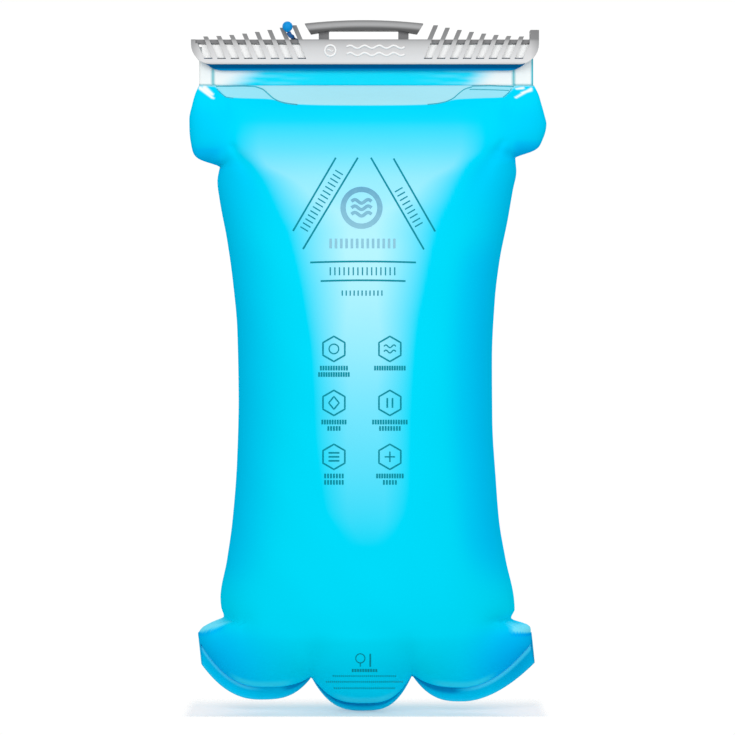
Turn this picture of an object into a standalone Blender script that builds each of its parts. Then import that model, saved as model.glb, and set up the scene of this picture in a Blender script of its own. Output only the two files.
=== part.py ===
"""A two-litre hydration bladder: a soft film reservoir that hangs by the handle of its slide-on closure.

Metres, +Z up, +X to the right, +Y to the back. The origin is on the flat underside of the hanging handle,
between its posts. The closure slides off the zip rails towards +X.
"""

import math

import bmesh
import bpy
from mathutils import Matrix, Vector

MM = 0.001
GAP = 0.3 * MM  # air between pieces that touch
CLEAR = 2 * MM  # how far a cutter runs past what it cuts

# Hanging handle
GRIP_HALF_LENGTH = 29.5 * MM
GRIP_CENTRE_X = -0.75 * MM
GRIP_RISE = 5.15 * MM
GRIP_END_RISE = 3.5 * MM
GRIP_END_DROP = 1.5 * MM
GRIP_HALF_DEPTH = 4.5 * MM
POST_CENTRES_X = (-20.75 * MM, 18.9 * MM)
POST_HALF_WIDTH = 2.55 * MM
POST_HALF_DEPTH = 2.2 * MM
POST_IN_GRIP = 2.4 * MM

# Slide closure: a channel, open downwards and at its left end
SLIDER_LEFT, SLIDER_RIGHT = -86.75 * MM, 86.25 * MM
SLIDER_TOP, SLIDER_BOTTOM = -4.5 * MM, -16.75 * MM
SLIDER_HALF_DEPTH = 6 * MM
SLIDER_CORNER = 10 * MM
CHANNEL_HALF_DEPTH = 4.6 * MM
CHANNEL_TOP, CHANNEL_FLOOR = -6.2 * MM, -15.5 * MM
CHANNEL_END = 83.4 * MM
SLOT_HALF_DEPTH = 3 * MM
TAB_LEFT, TAB_TOP = 82 * MM, 0.2 * MM
WINDOWS_A_SIDE = 8
WINDOW_TOP, WINDOW_BOTTOM = -6.35 * MM, -14.15 * MM
WINDOW_WIDTH = 4.2 * MM
WINDOW_LEAN = 0.43  # sideways travel for each unit of height
INNER_WINDOW_X = {-1: -32.8 * MM, 1: 32.3 * MM}  # the edge nearest the middle, at WINDOW_TOP
WINDOW_PITCH = {-1: 6.65 * MM, 1: 6.45 * MM}
FIN_WIDTH = 2.4 * MM
FIN_INSET = 0.05 * MM  # keeps a fin's faces off the planes of the bar's
TOP_WALL_HALF_DEPTH = 4.8 * MM  # the top wall stands back between the fins
RECESSES = (("left", -84.5 * MM, -33.2 * MM), ("right", 32.8 * MM, 81.6 * MM))
FIN_LOW, FIN_RISE, FIN_POWER = -3.05 * MM, 5.55 * MM, 1.6

# Zip rails, which the channel's lips ride under
RAIL_LEFT, RAIL_RIGHT = -83 * MM, 83 * MM
RAIL_BOTTOM, RAIL_TOP = -19.75 * MM, -14.3 * MM
RAIL_CORNER = 12 * MM
RAIL_INNER, RAIL_OUTER = 1 * MM, 2.7 * MM
BEAD_OUTER, BEAD_BOTTOM = 4.2 * MM, -15.2 * MM
BEAD_HALF_LENGTH = 71 * MM

# Clear neck films and the folded mouth inside the channel
NECK_HALF_WIDTH = 83.3 * MM
NECK_TOP, NECK_BOTTOM = -8 * MM, -27 * MM
NECK_INNER, NECK_OUTER = 0.15 * MM, 0.65 * MM
FOLD_FRONT, FOLD_BACK = -3.9 * MM, 0.65 * MM
FOLD_TOP, FOLD_BOTTOM = -6.9 * MM, -13.7 * MM
FOLD_THICKNESS = 0.8 * MM
FOLD_HALF_LENGTH = 81.5 * MM

# Film bag. Each station is height, half width, half width of the swollen core and half depth.
BAG_TOP = -27.3 * MM
BAG_STATIONS_MM = (
    (-27.3, 83.5, 80.0, 1.5),
    (-36.5, 87.0, 79.0, 11.0),
    (-46.5, 88.8, 77.0, 19.0),
    (-56.0, 86.5, 75.5, 25.5),
    (-64.0, 74.2, 74.0, 30.0),
    (-90.0, 72.2, 72.2, 36.5),
    (-116.0, 67.3, 67.3, 40.0),
    (-150.0, 64.0, 64.0, 42.5),
    (-180.0, 63.3, 63.3, 43.6),
    (-214.0, 64.3, 64.3, 43.6),
    (-244.0, 66.5, 66.5, 42.6),
    (-264.0, 69.7, 69.7, 40.8),
    (-284.0, 73.2, 73.2, 38.0),
    (-292.0, 72.6, 73.2, 36.5),
    (-297.0, 81.5, 73.0, 35.5),
    (-308.0, 83.8, 72.5, 32.5),
    (-340.0, 83.8, 72.5, 28.0),
)
FILM = 0.8 * MM  # the real film is thinner
FILM_EDGE = 1.05 * MM  # outer face of a panel's rim, from the middle plane
CORE_POWER, CORE_ROUND = 2.5, 0.55
COLUMNS, ROWS = 20, 26
BOTTOM_ROUND_FROM = 0.80  # share of the height where the panels start to close

# Three-lobed bottom edge
CENTRE_LOBE_HALF, CENTRE_LOBE_Z, DART_Z = 25.5 * MM, -339.5 * MM, -322 * MM
SIDE_LOBE_X, SIDE_LOBE_Z = 53 * MM, -333.5 * MM
LOBE_END_X, LOBE_END_Z = 84 * MM, -314 * MM
LOBE_POWER = 2.6
WELD_WIDTH = 5 * MM
WELD_HALF_THICKNESS = 0.4 * MM

# Slider tether
CORD_RADIUS = 1.1 * MM
BALL_CENTRE = Vector((-38.7 * MM, -8.4 * MM, 1.7 * MM))
BALL_RADIUS = 2.6 * MM
ANCHOR_CENTRE = Vector((81.5 * MM, 8.2 * MM, -18.4 * MM))
ANCHOR_RADIUS, ANCHOR_HALF_THICKNESS = 3.4 * MM, 1 * MM

# Drink-tube port on the back, on an axis along Y
PORT_Z = -287 * MM
PORT_PAD_Y = 33.5 * MM  # outer face of the flat film pad round the port
PORT_PAD_RADIUS, PORT_PAD_BLEND = 29 * MM, 20 * MM
PORT_HOLE_RADIUS = 12 * MM
FLANGE_RADIUS, FLANGE_THICKNESS = 16.5 * MM, 1.5 * MM
COLLAR_RADIUS, BORE_RADIUS, SEAT_RADIUS = 11.7 * MM, 7.5 * MM, 5 * MM
COLLAR_INNER_Y, SEAT_Y, COLLAR_OUTER_Y = 28 * MM, 29.5 * MM, 44 * MM
GROOVE_RADIUS, GROOVE_Y, GROOVE_WIDTH = 9 * MM, 35.6 * MM, 2 * MM
HOUSING_RADIUS, HOUSING_OUTER_Y = 16 * MM, 43 * MM
LATCH_Y, LATCH_HALF_THICKNESS, LATCH_HALF_WIDTH = 39.5 * MM, 1 * MM, 8.4 * MM
LATCH_BOTTOM, LATCH_TOP = -10 * MM, 18 * MM
LATCH_HOLE_RADIUS = 6.6 * MM
LATCH_SLOT_FLOOR = -12.5 * MM
LATCH_POCKET_FLOOR, LATCH_POCKET_HALF_WIDTH = -14.9 * MM, 1.8 * MM
BUTTON_HALF_WIDTH, BUTTON_HALF_DEPTH, BUTTON_HEIGHT = 6.5 * MM, 2.8 * MM, 3.4 * MM
POPPET_RADIUS, POPPET_FACE_Y, POPPET_THICKNESS = 6.8 * MM, 26.7 * MM, 1.2 * MM
STEM_RADIUS, STEM_END_Y = 1.6 * MM, 32.5 * MM
CAGE_OUTER, CAGE_INNER = 9.8 * MM, 8.6 * MM
CAGE_FLOOR_Y, CAGE_FLOOR_THICKNESS = 15 * MM, 1.2 * MM

CLEAR_FILM = (0.86, 0.95, 0.96, 0.5)
BLUE_FILM = (0.0, 0.66, 0.9, 0.85)
RAIL_BLUE = (0.0, 0.33, 0.62, 1.0)
TETHER_BLUE = (0.0, 0.42, 0.75, 1.0)
LIGHT_GREY = (0.62, 0.62, 0.61, 1.0)
DARK_GREY = (0.17, 0.18, 0.19, 1.0)
PORT_GREY = (0.3, 0.31, 0.33, 1.0)
SEAL_BLACK = (0.03, 0.03, 0.03, 1.0)
STEEL = (0.62, 0.62, 0.64, 1.0)


# Helpers ------------------------------------------------------------------------------------------------


def clear_scene():
    for found in list(bpy.data.objects):
        bpy.data.objects.remove(found, do_unlink=True)


def collection(name):
    made = bpy.data.collections.new(name)
    bpy.context.scene.collection.children.link(made)
    return made


def material(name, colour, roughness, metallic=0.0):
    made = bpy.data.materials.new(name)
    made.use_nodes = True
    shader = made.node_tree.nodes["Principled BSDF"]
    shader.inputs["Base Color"].default_value = colour
    shader.inputs["Roughness"].default_value = roughness
    shader.inputs["Metallic"].default_value = metallic
    made.diffuse_color = colour
    return made


def add(name, mesh, finish=None):
    """The mesh as a part, or as a hidden cutter if it has no finish."""
    made = bpy.data.objects.new(name, mesh)
    if finish:
        mesh.materials.append(finish)
        PARTS.objects.link(made)
    else:
        CUTTERS.objects.link(made)
        made.hide_render = True
        made.display_type = "WIRE"
    return made


def mesh_of(curve_object):
    """The curve as a mesh with its caps welded, in the curve's own space. The curve is removed."""
    bpy.context.scene.collection.objects.link(curve_object)
    bpy.context.view_layer.update()
    graph = bpy.context.evaluated_depsgraph_get()
    mesh = bpy.data.meshes.new_from_object(curve_object.evaluated_get(graph))
    data = curve_object.data
    bpy.data.objects.remove(curve_object)
    bpy.data.curves.remove(data)
    built = bmesh.new()
    built.from_mesh(mesh)
    bmesh.ops.remove_doubles(built, verts=built.verts, dist=0.00001)
    built.to_mesh(mesh)
    built.free()
    return mesh


def plate(name, points, middle, half, axis="Y", finish=None):
    """A flat outline, thick along axis. Points are (x, z) for axis Y, and (y, z) for axis X."""
    curve = bpy.data.curves.new(name, "CURVE")
    curve.dimensions = "2D"
    curve.fill_mode = "BOTH"
    curve.extrude = half
    line = curve.splines.new("POLY")
    line.points.add(len(points) - 1)
    for point, (across, up) in zip(line.points, points):
        point.co = (across, up, 0.0, 1.0)
    line.use_cyclic_u = True
    mesh = mesh_of(bpy.data.objects.new(name, curve))
    if axis == "Y":
        mesh.transform(Matrix.Translation((0, middle, 0)) @ Matrix.Rotation(math.pi / 2, 4, "X"))
    else:
        turn = Matrix(((0, 0, 1, middle), (1, 0, 0, 0), (0, 1, 0, 0), (0, 0, 0, 1)))
        mesh.transform(turn)
    return add(name, mesh, finish)


def box(name, low, high, finish=None):
    built = bmesh.new()
    bmesh.ops.create_cube(built, size=1.0)
    low, high = Vector(low), Vector(high)
    sides = high - low
    bmesh.ops.scale(built, vec=sides, verts=built.verts)
    bmesh.ops.translate(built, vec=(low + high) / 2, verts=built.verts)
    mesh = bpy.data.meshes.new(name)
    built.to_mesh(mesh)
    built.free()
    return add(name, mesh, finish)


def rod(name, radius, start, end, finish=None, sides=32):
    """A cylinder along Y, on the port's axis."""
    built = bmesh.new()
    bmesh.ops.create_cone(
        built, cap_ends=True, segments=sides, radius1=radius, radius2=radius, depth=end - start
    )
    bmesh.ops.rotate(built, matrix=Matrix.Rotation(-math.pi / 2, 3, "X"), verts=built.verts)
    bmesh.ops.translate(built, vec=(0, (start + end) / 2, PORT_Z), verts=built.verts)
    mesh = bpy.data.meshes.new(name)
    built.to_mesh(mesh)
    built.free()
    return add(name, mesh, finish)


def turned(name, profile, finish, sides=32):
    """A profile of (radius, y) points, closed, turned about the port's axis."""
    built = bmesh.new()
    corners = [built.verts.new((radius, 0.0, y)) for radius, y in profile]
    for first, second in zip(corners, corners[1:] + corners[:1]):
        built.edges.new((first, second))
    mesh = bpy.data.meshes.new(name)
    built.to_mesh(mesh)
    built.free()
    made = add(name, mesh, finish)
    made.rotation_euler = (-math.pi / 2, 0.0, 0.0)
    made.location = (0.0, 0.0, PORT_Z)
    screw = made.modifiers.new("turn", "SCREW")
    screw.steps = screw.render_steps = sides
    screw.use_merge_vertices = True
    screw.merge_threshold = 0.00001
    return made


def tube(name, points, radius, finish, closed=False):
    """A round wire through the points."""
    curve = bpy.data.curves.new(name, "CURVE")
    curve.dimensions = "3D"
    curve.bevel_depth = radius
    curve.bevel_resolution = 2
    curve.use_fill_caps = not closed
    line = curve.splines.new("POLY")
    line.points.add(len(points) - 1)
    for point, place in zip(line.points, points):
        point.co = (*place, 1.0)
    line.use_cyclic_u = closed
    return add(name, mesh_of(bpy.data.objects.new(name, curve)), finish)


def boolean(target, other, operation="DIFFERENCE"):
    cut = target.modifiers.new(operation.lower(), "BOOLEAN")
    cut.operation = operation
    cut.object = other
    return cut


def bevel(target, width, segments=2):
    soft = target.modifiers.new("bevel", "BEVEL")
    soft.width = width
    soft.segments = segments
    soft.limit_method = "ANGLE"
    soft.angle_limit = math.radians(40)


def arc(centre, radius, start, end, steps=8):
    """Points on an arc from start to end, in degrees."""
    angles = (math.radians(start + (end - start) * i / steps) for i in range(steps + 1))
    return [(centre[0] + radius * math.cos(a), centre[1] + radius * math.sin(a)) for a in angles]


def smooth(value):
    value = min(max(value, 0.0), 1.0)
    return value * value * (3.0 - 2.0 * value)


def helix(centre, radius, start, end, turns, axis, per_turn=12):
    """Points of a coil about Y or Z, from start to end along that axis."""
    points = []
    for i in range(turns * per_turn + 1):
        turn, share = 2 * math.pi * i / per_turn, i / (turns * per_turn)
        along = start + (end - start) * share
        across, up = radius * math.cos(turn), radius * math.sin(turn)
        if axis == "Y":
            points.append((centre[0] + across, along, centre[2] + up))
        else:
            points.append((centre[0] + across, centre[1] + up, along))
    return points


# Film bag -----------------------------------------------------------------------------------------------


def station(z):
    """Half width, core half width and half depth of the bag at a height."""
    rows = [[value * MM for value in row] for row in BAG_STATIONS_MM]
    for above, below in zip(rows, rows[1:]):
        if z >= below[0]:
            share = min((above[0] - z) / (above[0] - below[0]), 1.0)
            return [a + (b - a) * share for a, b in zip(above[1:], below[1:])]
    return rows[-1][1:]


def bottom_edge(x):
    """Height of the three-lobed bottom edge."""
    away = abs(x)
    if away < CENTRE_LOBE_HALF:
        low, high, share = CENTRE_LOBE_Z, DART_Z, away / CENTRE_LOBE_HALF
    elif away < SIDE_LOBE_X:
        low, high = SIDE_LOBE_Z, DART_Z
        share = (SIDE_LOBE_X - away) / (SIDE_LOBE_X - CENTRE_LOBE_HALF)
    else:
        low, high = SIDE_LOBE_Z, LOBE_END_Z
        share = (away - SIDE_LOBE_X) / (LOBE_END_X - SIDE_LOBE_X)
    return low + (high - low) * min(share, 1.0) ** LOBE_POWER


def bag_point(across, down, side):
    """A point of the outer face. across runs from -1 to 1, down from 0 to 1, side is -1 in front, 1 behind."""
    reach = math.sin(across * math.pi / 2)
    end = bottom_edge(reach * LOBE_END_X) + WELD_WIDTH
    z = BAG_TOP + (end - BAG_TOP) * down
    half_width, core, half_depth = station(z)
    x = reach * half_width
    crown = max(1.0 - (abs(x) / core) ** CORE_POWER, 0.0) ** CORE_ROUND
    closing = max(down - BOTTOM_ROUND_FROM, 0.0) / (1.0 - BOTTOM_ROUND_FROM)
    depth = half_depth * crown * math.sqrt(max(1.0 - closing**2, 0.0))
    if side > 0:
        away = math.hypot(x, z - PORT_Z)
        share = smooth((away - PORT_PAD_RADIUS) / PORT_PAD_BLEND)
        depth = (PORT_PAD_Y - FILM_EDGE) * (1.0 - share) + depth * share
    return Vector((x, side * (FILM_EDGE + depth), z))


def film_panel(name, side, finish):
    """One half of the bag: a loft from the straight neck through the waist to the lobed bottom edge."""
    built = bmesh.new()
    grid = [
        [
            built.verts.new(bag_point(2 * column / COLUMNS - 1, row / ROWS, side))
            for column in range(COLUMNS + 1)
        ]
        for row in range(ROWS + 1)
    ]
    for upper, lower in zip(grid, grid[1:]):
        for i in range(COLUMNS):
            face = [upper[i], lower[i], lower[i + 1], upper[i + 1]]
            built.faces.new(face if side < 0 else face[::-1])
    mesh = bpy.data.meshes.new(name)
    built.to_mesh(mesh)
    built.free()
    made = add(name, mesh, finish)
    shell = made.modifiers.new("film", "SOLIDIFY")
    shell.thickness = FILM
    shell.offset = -1.0
    mesh.shade_smooth()
    return made


def back_film_panel(finish):
    made = film_panel("back_film_panel", 1, finish)
    boolean(made, rod("port_hole", PORT_HOLE_RADIUS, PORT_PAD_Y - 10 * MM, PORT_PAD_Y + 10 * MM))


def bottom_weld_strip(finish):
    steps = 48
    across = [LOBE_END_X * (2 * i / steps - 1) for i in range(steps + 1)]
    outer = [(x, bottom_edge(x)) for x in across]
    inner = [(x, bottom_edge(x) + WELD_WIDTH - GAP) for x in reversed(across)]
    plate("bottom_weld_strip", outer + inner, 0.0, WELD_HALF_THICKNESS, finish=finish)


def neck_film(name, side, finish):
    near, far = sorted((side * NECK_INNER, side * NECK_OUTER))
    box(name, (-NECK_HALF_WIDTH, near, NECK_BOTTOM), (NECK_HALF_WIDTH, far, NECK_TOP), finish)


def folded_mouth(finish):
    """The mouth's film, folded over forwards above the rails, inside the channel."""
    inner = FOLD_FRONT + FOLD_THICKNESS
    under = FOLD_TOP - FOLD_THICKNESS
    section = [
        (FOLD_FRONT, FOLD_BOTTOM),
        (inner, FOLD_BOTTOM),
        (inner, under),
        (FOLD_BACK, under),
        (FOLD_BACK, FOLD_TOP),
        (FOLD_FRONT, FOLD_TOP),
    ]
    plate("folded_mouth", section, 0.0, FOLD_HALF_LENGTH, axis="X", finish=finish)


# Zip rails ----------------------------------------------------------------------------------------------


def rail_outline():
    """A strip with upturned round ends."""
    height = RAIL_TOP - RAIL_BOTTOM
    inside = RAIL_CORNER - height
    left = (RAIL_LEFT + RAIL_CORNER, RAIL_BOTTOM + RAIL_CORNER)
    right = (RAIL_RIGHT - RAIL_CORNER, RAIL_BOTTOM + RAIL_CORNER)
    return (
        arc(left, RAIL_CORNER, 200, 270)
        + arc(right, RAIL_CORNER, 270, 340)
        + arc(right, inside, 340, 270)
        + arc(left, inside, 270, 200)
    )


def rail(name, side, finish):
    """One rail: a thin strip, and a bead on its outer face that the channel's lips hook over."""
    middle, half = (RAIL_INNER + RAIL_OUTER) / 2, (RAIL_OUTER - RAIL_INNER) / 2
    made = plate(name, rail_outline(), side * middle, half, finish=finish)
    near, far = sorted((side * (RAIL_OUTER - GAP), side * BEAD_OUTER))
    bead = box(
        f"{name}_bead",
        (-BEAD_HALF_LENGTH, near, BEAD_BOTTOM),
        (BEAD_HALF_LENGTH, far, RAIL_TOP - GAP / 2),
    )
    boolean(made, bead, "UNION")


# Slide closure ------------------------------------------------------------------------------------------


def slider_outline():
    """The bar from the front: round lower corners and a tab that rises at the right end."""
    left = (SLIDER_LEFT + SLIDER_CORNER, SLIDER_BOTTOM + SLIDER_CORNER)
    right = (SLIDER_RIGHT - SLIDER_CORNER, SLIDER_BOTTOM + SLIDER_CORNER)
    return (
        [(SLIDER_LEFT, SLIDER_TOP)]
        + arc(left, SLIDER_CORNER, 180, 270)
        + arc(right, SLIDER_CORNER, 270, 360)
        + [(SLIDER_RIGHT, TAB_TOP), (TAB_LEFT, TAB_TOP), (TAB_LEFT, SLIDER_TOP)]
    )


def leaning(side, edge, width, low, high):
    """A slanted bar's outline. edge is its side nearest the middle at WINDOW_TOP."""
    inner = [(edge - side * WINDOW_LEAN * (WINDOW_TOP - z), z) for z in (low, high)]
    outer = [(x + side * width, z) for x, z in reversed(inner)]
    return inner + outer


def fin_top(from_middle):
    """Height of a fin. The fins fall away from the middle of the bar to its ends."""
    share = 1.0 - from_middle / (WINDOWS_A_SIDE - 1)
    return FIN_LOW + FIN_RISE * share**FIN_POWER


def slider_channel(finish):
    made = plate("slider_channel", slider_outline(), 0.0, SLIDER_HALF_DEPTH, finish=finish)
    for name, start, end in RECESSES:
        for face in (-1, 1):
            near, far = sorted((face * TOP_WALL_HALF_DEPTH, face * (SLIDER_HALF_DEPTH + CLEAR)))
            low, high = (start, near, WINDOW_TOP - FIN_INSET), (end, far, SLIDER_TOP + CLEAR)
            boolean(made, box(f"recess_{name}_{face}", low, high))
    for side in (-1, 1):
        for i in range(WINDOWS_A_SIDE):
            window = INNER_WINDOW_X[side] + side * i * WINDOW_PITCH[side]
            edge, width = window - side * (FIN_WIDTH - FIN_INSET), FIN_WIDTH - 2 * FIN_INSET
            outline = leaning(side, edge, width, WINDOW_TOP - MM, fin_top(i))
            name = f"fin_{i}_{'left' if side < 0 else 'right'}"
            fin = plate(name, outline, 0.0, SLIDER_HALF_DEPTH - FIN_INSET)
            boolean(made, fin, "UNION")
    for i, x in enumerate(POST_CENTRES_X):
        low = (x - POST_HALF_WIDTH, -POST_HALF_DEPTH, SLIDER_TOP - MM)
        high = (x + POST_HALF_WIDTH, POST_HALF_DEPTH, POST_IN_GRIP)
        boolean(made, box(f"post_{i}", low, high), "UNION")
    left = SLIDER_LEFT - CLEAR
    hollow = box(
        "channel_hollow",
        (left, -CHANNEL_HALF_DEPTH, CHANNEL_FLOOR),
        (CHANNEL_END, CHANNEL_HALF_DEPTH, CHANNEL_TOP),
    )
    slot = box(
        "channel_slot",
        (left, -SLOT_HALF_DEPTH, SLIDER_BOTTOM - CLEAR),
        (CHANNEL_END, SLOT_HALF_DEPTH, CHANNEL_FLOOR + MM),
    )
    boolean(made, hollow)
    boolean(made, slot)
    for side in (-1, 1):
        for i in range(WINDOWS_A_SIDE):
            edge = INNER_WINDOW_X[side] + side * i * WINDOW_PITCH[side]
            outline = leaning(side, edge, WINDOW_WIDTH, WINDOW_BOTTOM, WINDOW_TOP)
            name = f"window_{i}_{'left' if side < 0 else 'right'}"
            boolean(made, plate(name, outline, 0.0, SLIDER_HALF_DEPTH + CLEAR))


def handle_grip(finish):
    """The arched bar. Its underside is flat from post to post."""
    flat = 17 * MM
    steps = 16
    top = []
    for i in range(steps + 1):
        share = 1 - 2 * i / steps
        rise = GRIP_RISE - (GRIP_RISE - GRIP_END_RISE) * share**2
        top.append((GRIP_CENTRE_X + GRIP_HALF_LENGTH * share, rise))
    foot = GRIP_HALF_LENGTH - 3 * MM
    under = [(-foot, -GRIP_END_DROP), (-flat, 0.0), (flat, 0.0), (foot, -GRIP_END_DROP)]
    outline = top + [(GRIP_CENTRE_X + x, z) for x, z in under]
    made = plate("handle_grip", outline, 0.0, GRIP_HALF_DEPTH, finish=finish)
    for i, x in enumerate(POST_CENTRES_X):
        low = (x - POST_HALF_WIDTH - GAP, -POST_HALF_DEPTH - GAP, -GRIP_END_DROP - CLEAR)
        high = (x + POST_HALF_WIDTH + GAP, POST_HALF_DEPTH + GAP, POST_IN_GRIP + GAP)
        boolean(made, box(f"post_pocket_{i}", low, high))
    bevel(made, 0.9 * MM)


# Tether -------------------------------------------------------------------------------------------------


def tether_route():
    """From just under the ball, back between two fins over the bar, and along its rear to the anchor."""
    return [
        Vector(place) * MM
        for place in (
            (-38.1, -8.1, -1.3),
            (-37.4, -7.2, -2.6),
            (-36.5, -5.0, -3.1),
            (-36.4, 0.0, -3.1),
            (-36.3, 5.0, -3.1),
            (-35.2, 7.4, -3.9),
            (-30.6, 8.0, -6.0),
            (-22.0, 8.1, -8.2),
            (-14.0, 8.2, -9.8),
            (0.0, 8.2, -11.4),
            (20.0, 8.2, -12.9),
            (40.0, 8.2, -13.4),
            (56.0, 8.2, -13.2),
            (68.0, 8.2, -13.4),
            (75.0, 8.2, -13.9),
            (79.2, 8.2, -15.1),
        )
    ]


def through(points, each=3):
    """A smooth curve through the points, with a few points on each stretch."""
    padded = [2 * points[0] - points[1], *points, 2 * points[-1] - points[-2]]
    found = []
    for before, start, end, after in zip(padded, padded[1:], padded[2:], padded[3:]):
        for i in range(each):
            t = i / each
            bend = 2 * before - 5 * start + 4 * end - after
            twist = 3 * start - before - 3 * end + after
            found.append(start + ((end - before) * t + bend * t**2 + twist * t**3) / 2)
    return found + [points[-1]]


def tether_ball(finish):
    built = bmesh.new()
    bmesh.ops.create_uvsphere(built, u_segments=20, v_segments=12, radius=BALL_RADIUS)
    mesh = bpy.data.meshes.new("tether_ball")
    built.to_mesh(mesh)
    built.free()
    made = add("tether_ball", mesh, finish)
    made.location = BALL_CENTRE
    mesh.shade_smooth()


def tether_anchor(finish):
    """A lug behind the rear rail, on a short arm that is part of it."""
    x, y, z = ANCHOR_CENTRE
    tip = ANCHOR_RADIUS
    left, right, low, high = x - tip, x + tip / 2, z - tip, z + tip / 2
    outline = [(left, low), (right, low), (right, high), (left, high)]
    made = plate("tether_anchor", outline, y, ANCHOR_HALF_THICKNESS, finish=finish)
    arm = box(
        "anchor_arm",
        (x - tip + GAP, RAIL_OUTER + GAP, z - tip + GAP),
        (x, y, z - tip / 2),
    )
    boolean(made, arm, "UNION")
    bevel(made, 0.4 * MM)


# Port ---------------------------------------------------------------------------------------------------


def cut_latch_space(target, spare):
    """Cuts the slot that the latch plate slides in, and the spring's pocket under it."""
    half = LATCH_HALF_THICKNESS + spare
    side = LATCH_HALF_WIDTH + spare
    top = PORT_Z + HOUSING_RADIUS + CLEAR
    pocket = LATCH_POCKET_HALF_WIDTH
    spaces = {
        "slot": ((-side, PORT_Z + LATCH_SLOT_FLOOR), (side, top)),
        "pocket": ((-pocket, PORT_Z + LATCH_POCKET_FLOOR), (pocket, PORT_Z)),
    }
    for name, ((left, low), (right, high)) in spaces.items():
        near, far = LATCH_Y - half, LATCH_Y + half
        boolean(target, box(f"{target.name}_{name}", (left, near, low), (right, far, high)))


def port_flange(finish):
    """The ring welded inside the film, its collar, the valve seat and the O-ring's groove."""
    flange_back = PORT_PAD_Y - FILM - GAP
    flange_front = flange_back - FLANGE_THICKNESS
    low, high = GROOVE_Y - GROOVE_WIDTH / 2, GROOVE_Y + GROOVE_WIDTH / 2
    profile = [
        (BORE_RADIUS, COLLAR_OUTER_Y),
        (COLLAR_RADIUS, COLLAR_OUTER_Y),
        (COLLAR_RADIUS, flange_back),
        (FLANGE_RADIUS, flange_back),
        (FLANGE_RADIUS, flange_front),
        (COLLAR_RADIUS, flange_front),
        (COLLAR_RADIUS, COLLAR_INNER_Y),
        (SEAT_RADIUS, COLLAR_INNER_Y),
        (SEAT_RADIUS, SEAT_Y),
        (BORE_RADIUS, SEAT_Y),
        (BORE_RADIUS, low),
        (GROOVE_RADIUS, low),
        (GROOVE_RADIUS, high),
        (BORE_RADIUS, high),
    ]
    made = turned("port_flange", profile, finish)
    cut_latch_space(made, GAP)


def port_housing(finish):
    inner = COLLAR_RADIUS + GAP
    start = PORT_PAD_Y + GAP
    chamfer = 1.5 * MM
    profile = [
        (inner, HOUSING_OUTER_Y),
        (HOUSING_RADIUS - chamfer, HOUSING_OUTER_Y),
        (HOUSING_RADIUS, HOUSING_OUTER_Y - chamfer),
        (HOUSING_RADIUS, start),
        (inner, start),
    ]
    made = turned("port_housing", profile, finish)
    cut_latch_space(made, GAP + 0.05 * MM)


def port_o_ring(finish):
    radius, wire = 8.1 * MM, 0.65 * MM
    turns = 32
    angles = [2 * math.pi * i / turns for i in range(turns)]
    points = [(radius * math.cos(a), GROOVE_Y, PORT_Z + radius * math.sin(a)) for a in angles]
    tube("port_o_ring", points, wire, finish, closed=True)


def latch_plate(finish):
    """A sliding plate with a hole whose lower rim holds the tube's fitting."""
    low = (-LATCH_HALF_WIDTH, LATCH_Y - LATCH_HALF_THICKNESS, PORT_Z + LATCH_BOTTOM)
    high = (LATCH_HALF_WIDTH, LATCH_Y + LATCH_HALF_THICKNESS, PORT_Z + LATCH_TOP)
    made = box("latch_plate", low, high, finish)
    hole = rod("latch_hole", LATCH_HOLE_RADIUS, LATCH_Y - 2 * MM, LATCH_Y + 2 * MM)
    boolean(made, hole)


def release_button(finish):
    low = (-BUTTON_HALF_WIDTH, LATCH_Y - BUTTON_HALF_DEPTH, PORT_Z + LATCH_TOP + GAP)
    high = (BUTTON_HALF_WIDTH, LATCH_Y + BUTTON_HALF_DEPTH, PORT_Z + LATCH_TOP + GAP + BUTTON_HEIGHT)
    bevel(box("release_button", low, high, finish), 0.6 * MM)


def latch_spring(finish):
    radius, wire = 0.85 * MM, 0.2 * MM
    start = PORT_Z + LATCH_POCKET_FLOOR + wire + GAP
    end = PORT_Z + LATCH_BOTTOM - wire - GAP
    points = helix((0.0, LATCH_Y, 0.0), radius, start, end, 4, "Z")
    tube("latch_spring", points, wire, finish)


def valve_poppet(finish):
    """A disc on the water side of the seat, and the stem that the tube's fitting pushes."""
    back = POPPET_FACE_Y - POPPET_THICKNESS
    profile = [
        (0.0, STEM_END_Y),
        (STEM_RADIUS, STEM_END_Y),
        (STEM_RADIUS, POPPET_FACE_Y),
        (POPPET_RADIUS, POPPET_FACE_Y),
        (POPPET_RADIUS, back),
        (0.0, back),
    ]
    turned("valve_poppet", profile, finish)


def poppet_seal(finish):
    face = POPPET_FACE_Y + 0.25 * MM
    rim = COLLAR_INNER_Y - GAP
    profile = [
        (5.3 * MM, rim),
        (6.6 * MM, rim),
        (6.6 * MM, face),
        (5.3 * MM, face),
    ]
    turned("poppet_seal", profile, finish)


def valve_spring(finish):
    radius, wire = 4.4 * MM, 0.45 * MM
    start = CAGE_FLOOR_Y + CAGE_FLOOR_THICKNESS + wire + GAP
    end = POPPET_FACE_Y - POPPET_THICKNESS - wire - GAP
    tube("valve_spring", helix((0.0, 0.0, PORT_Z), radius, start, end, 4, "Y"), wire, finish)


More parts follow.
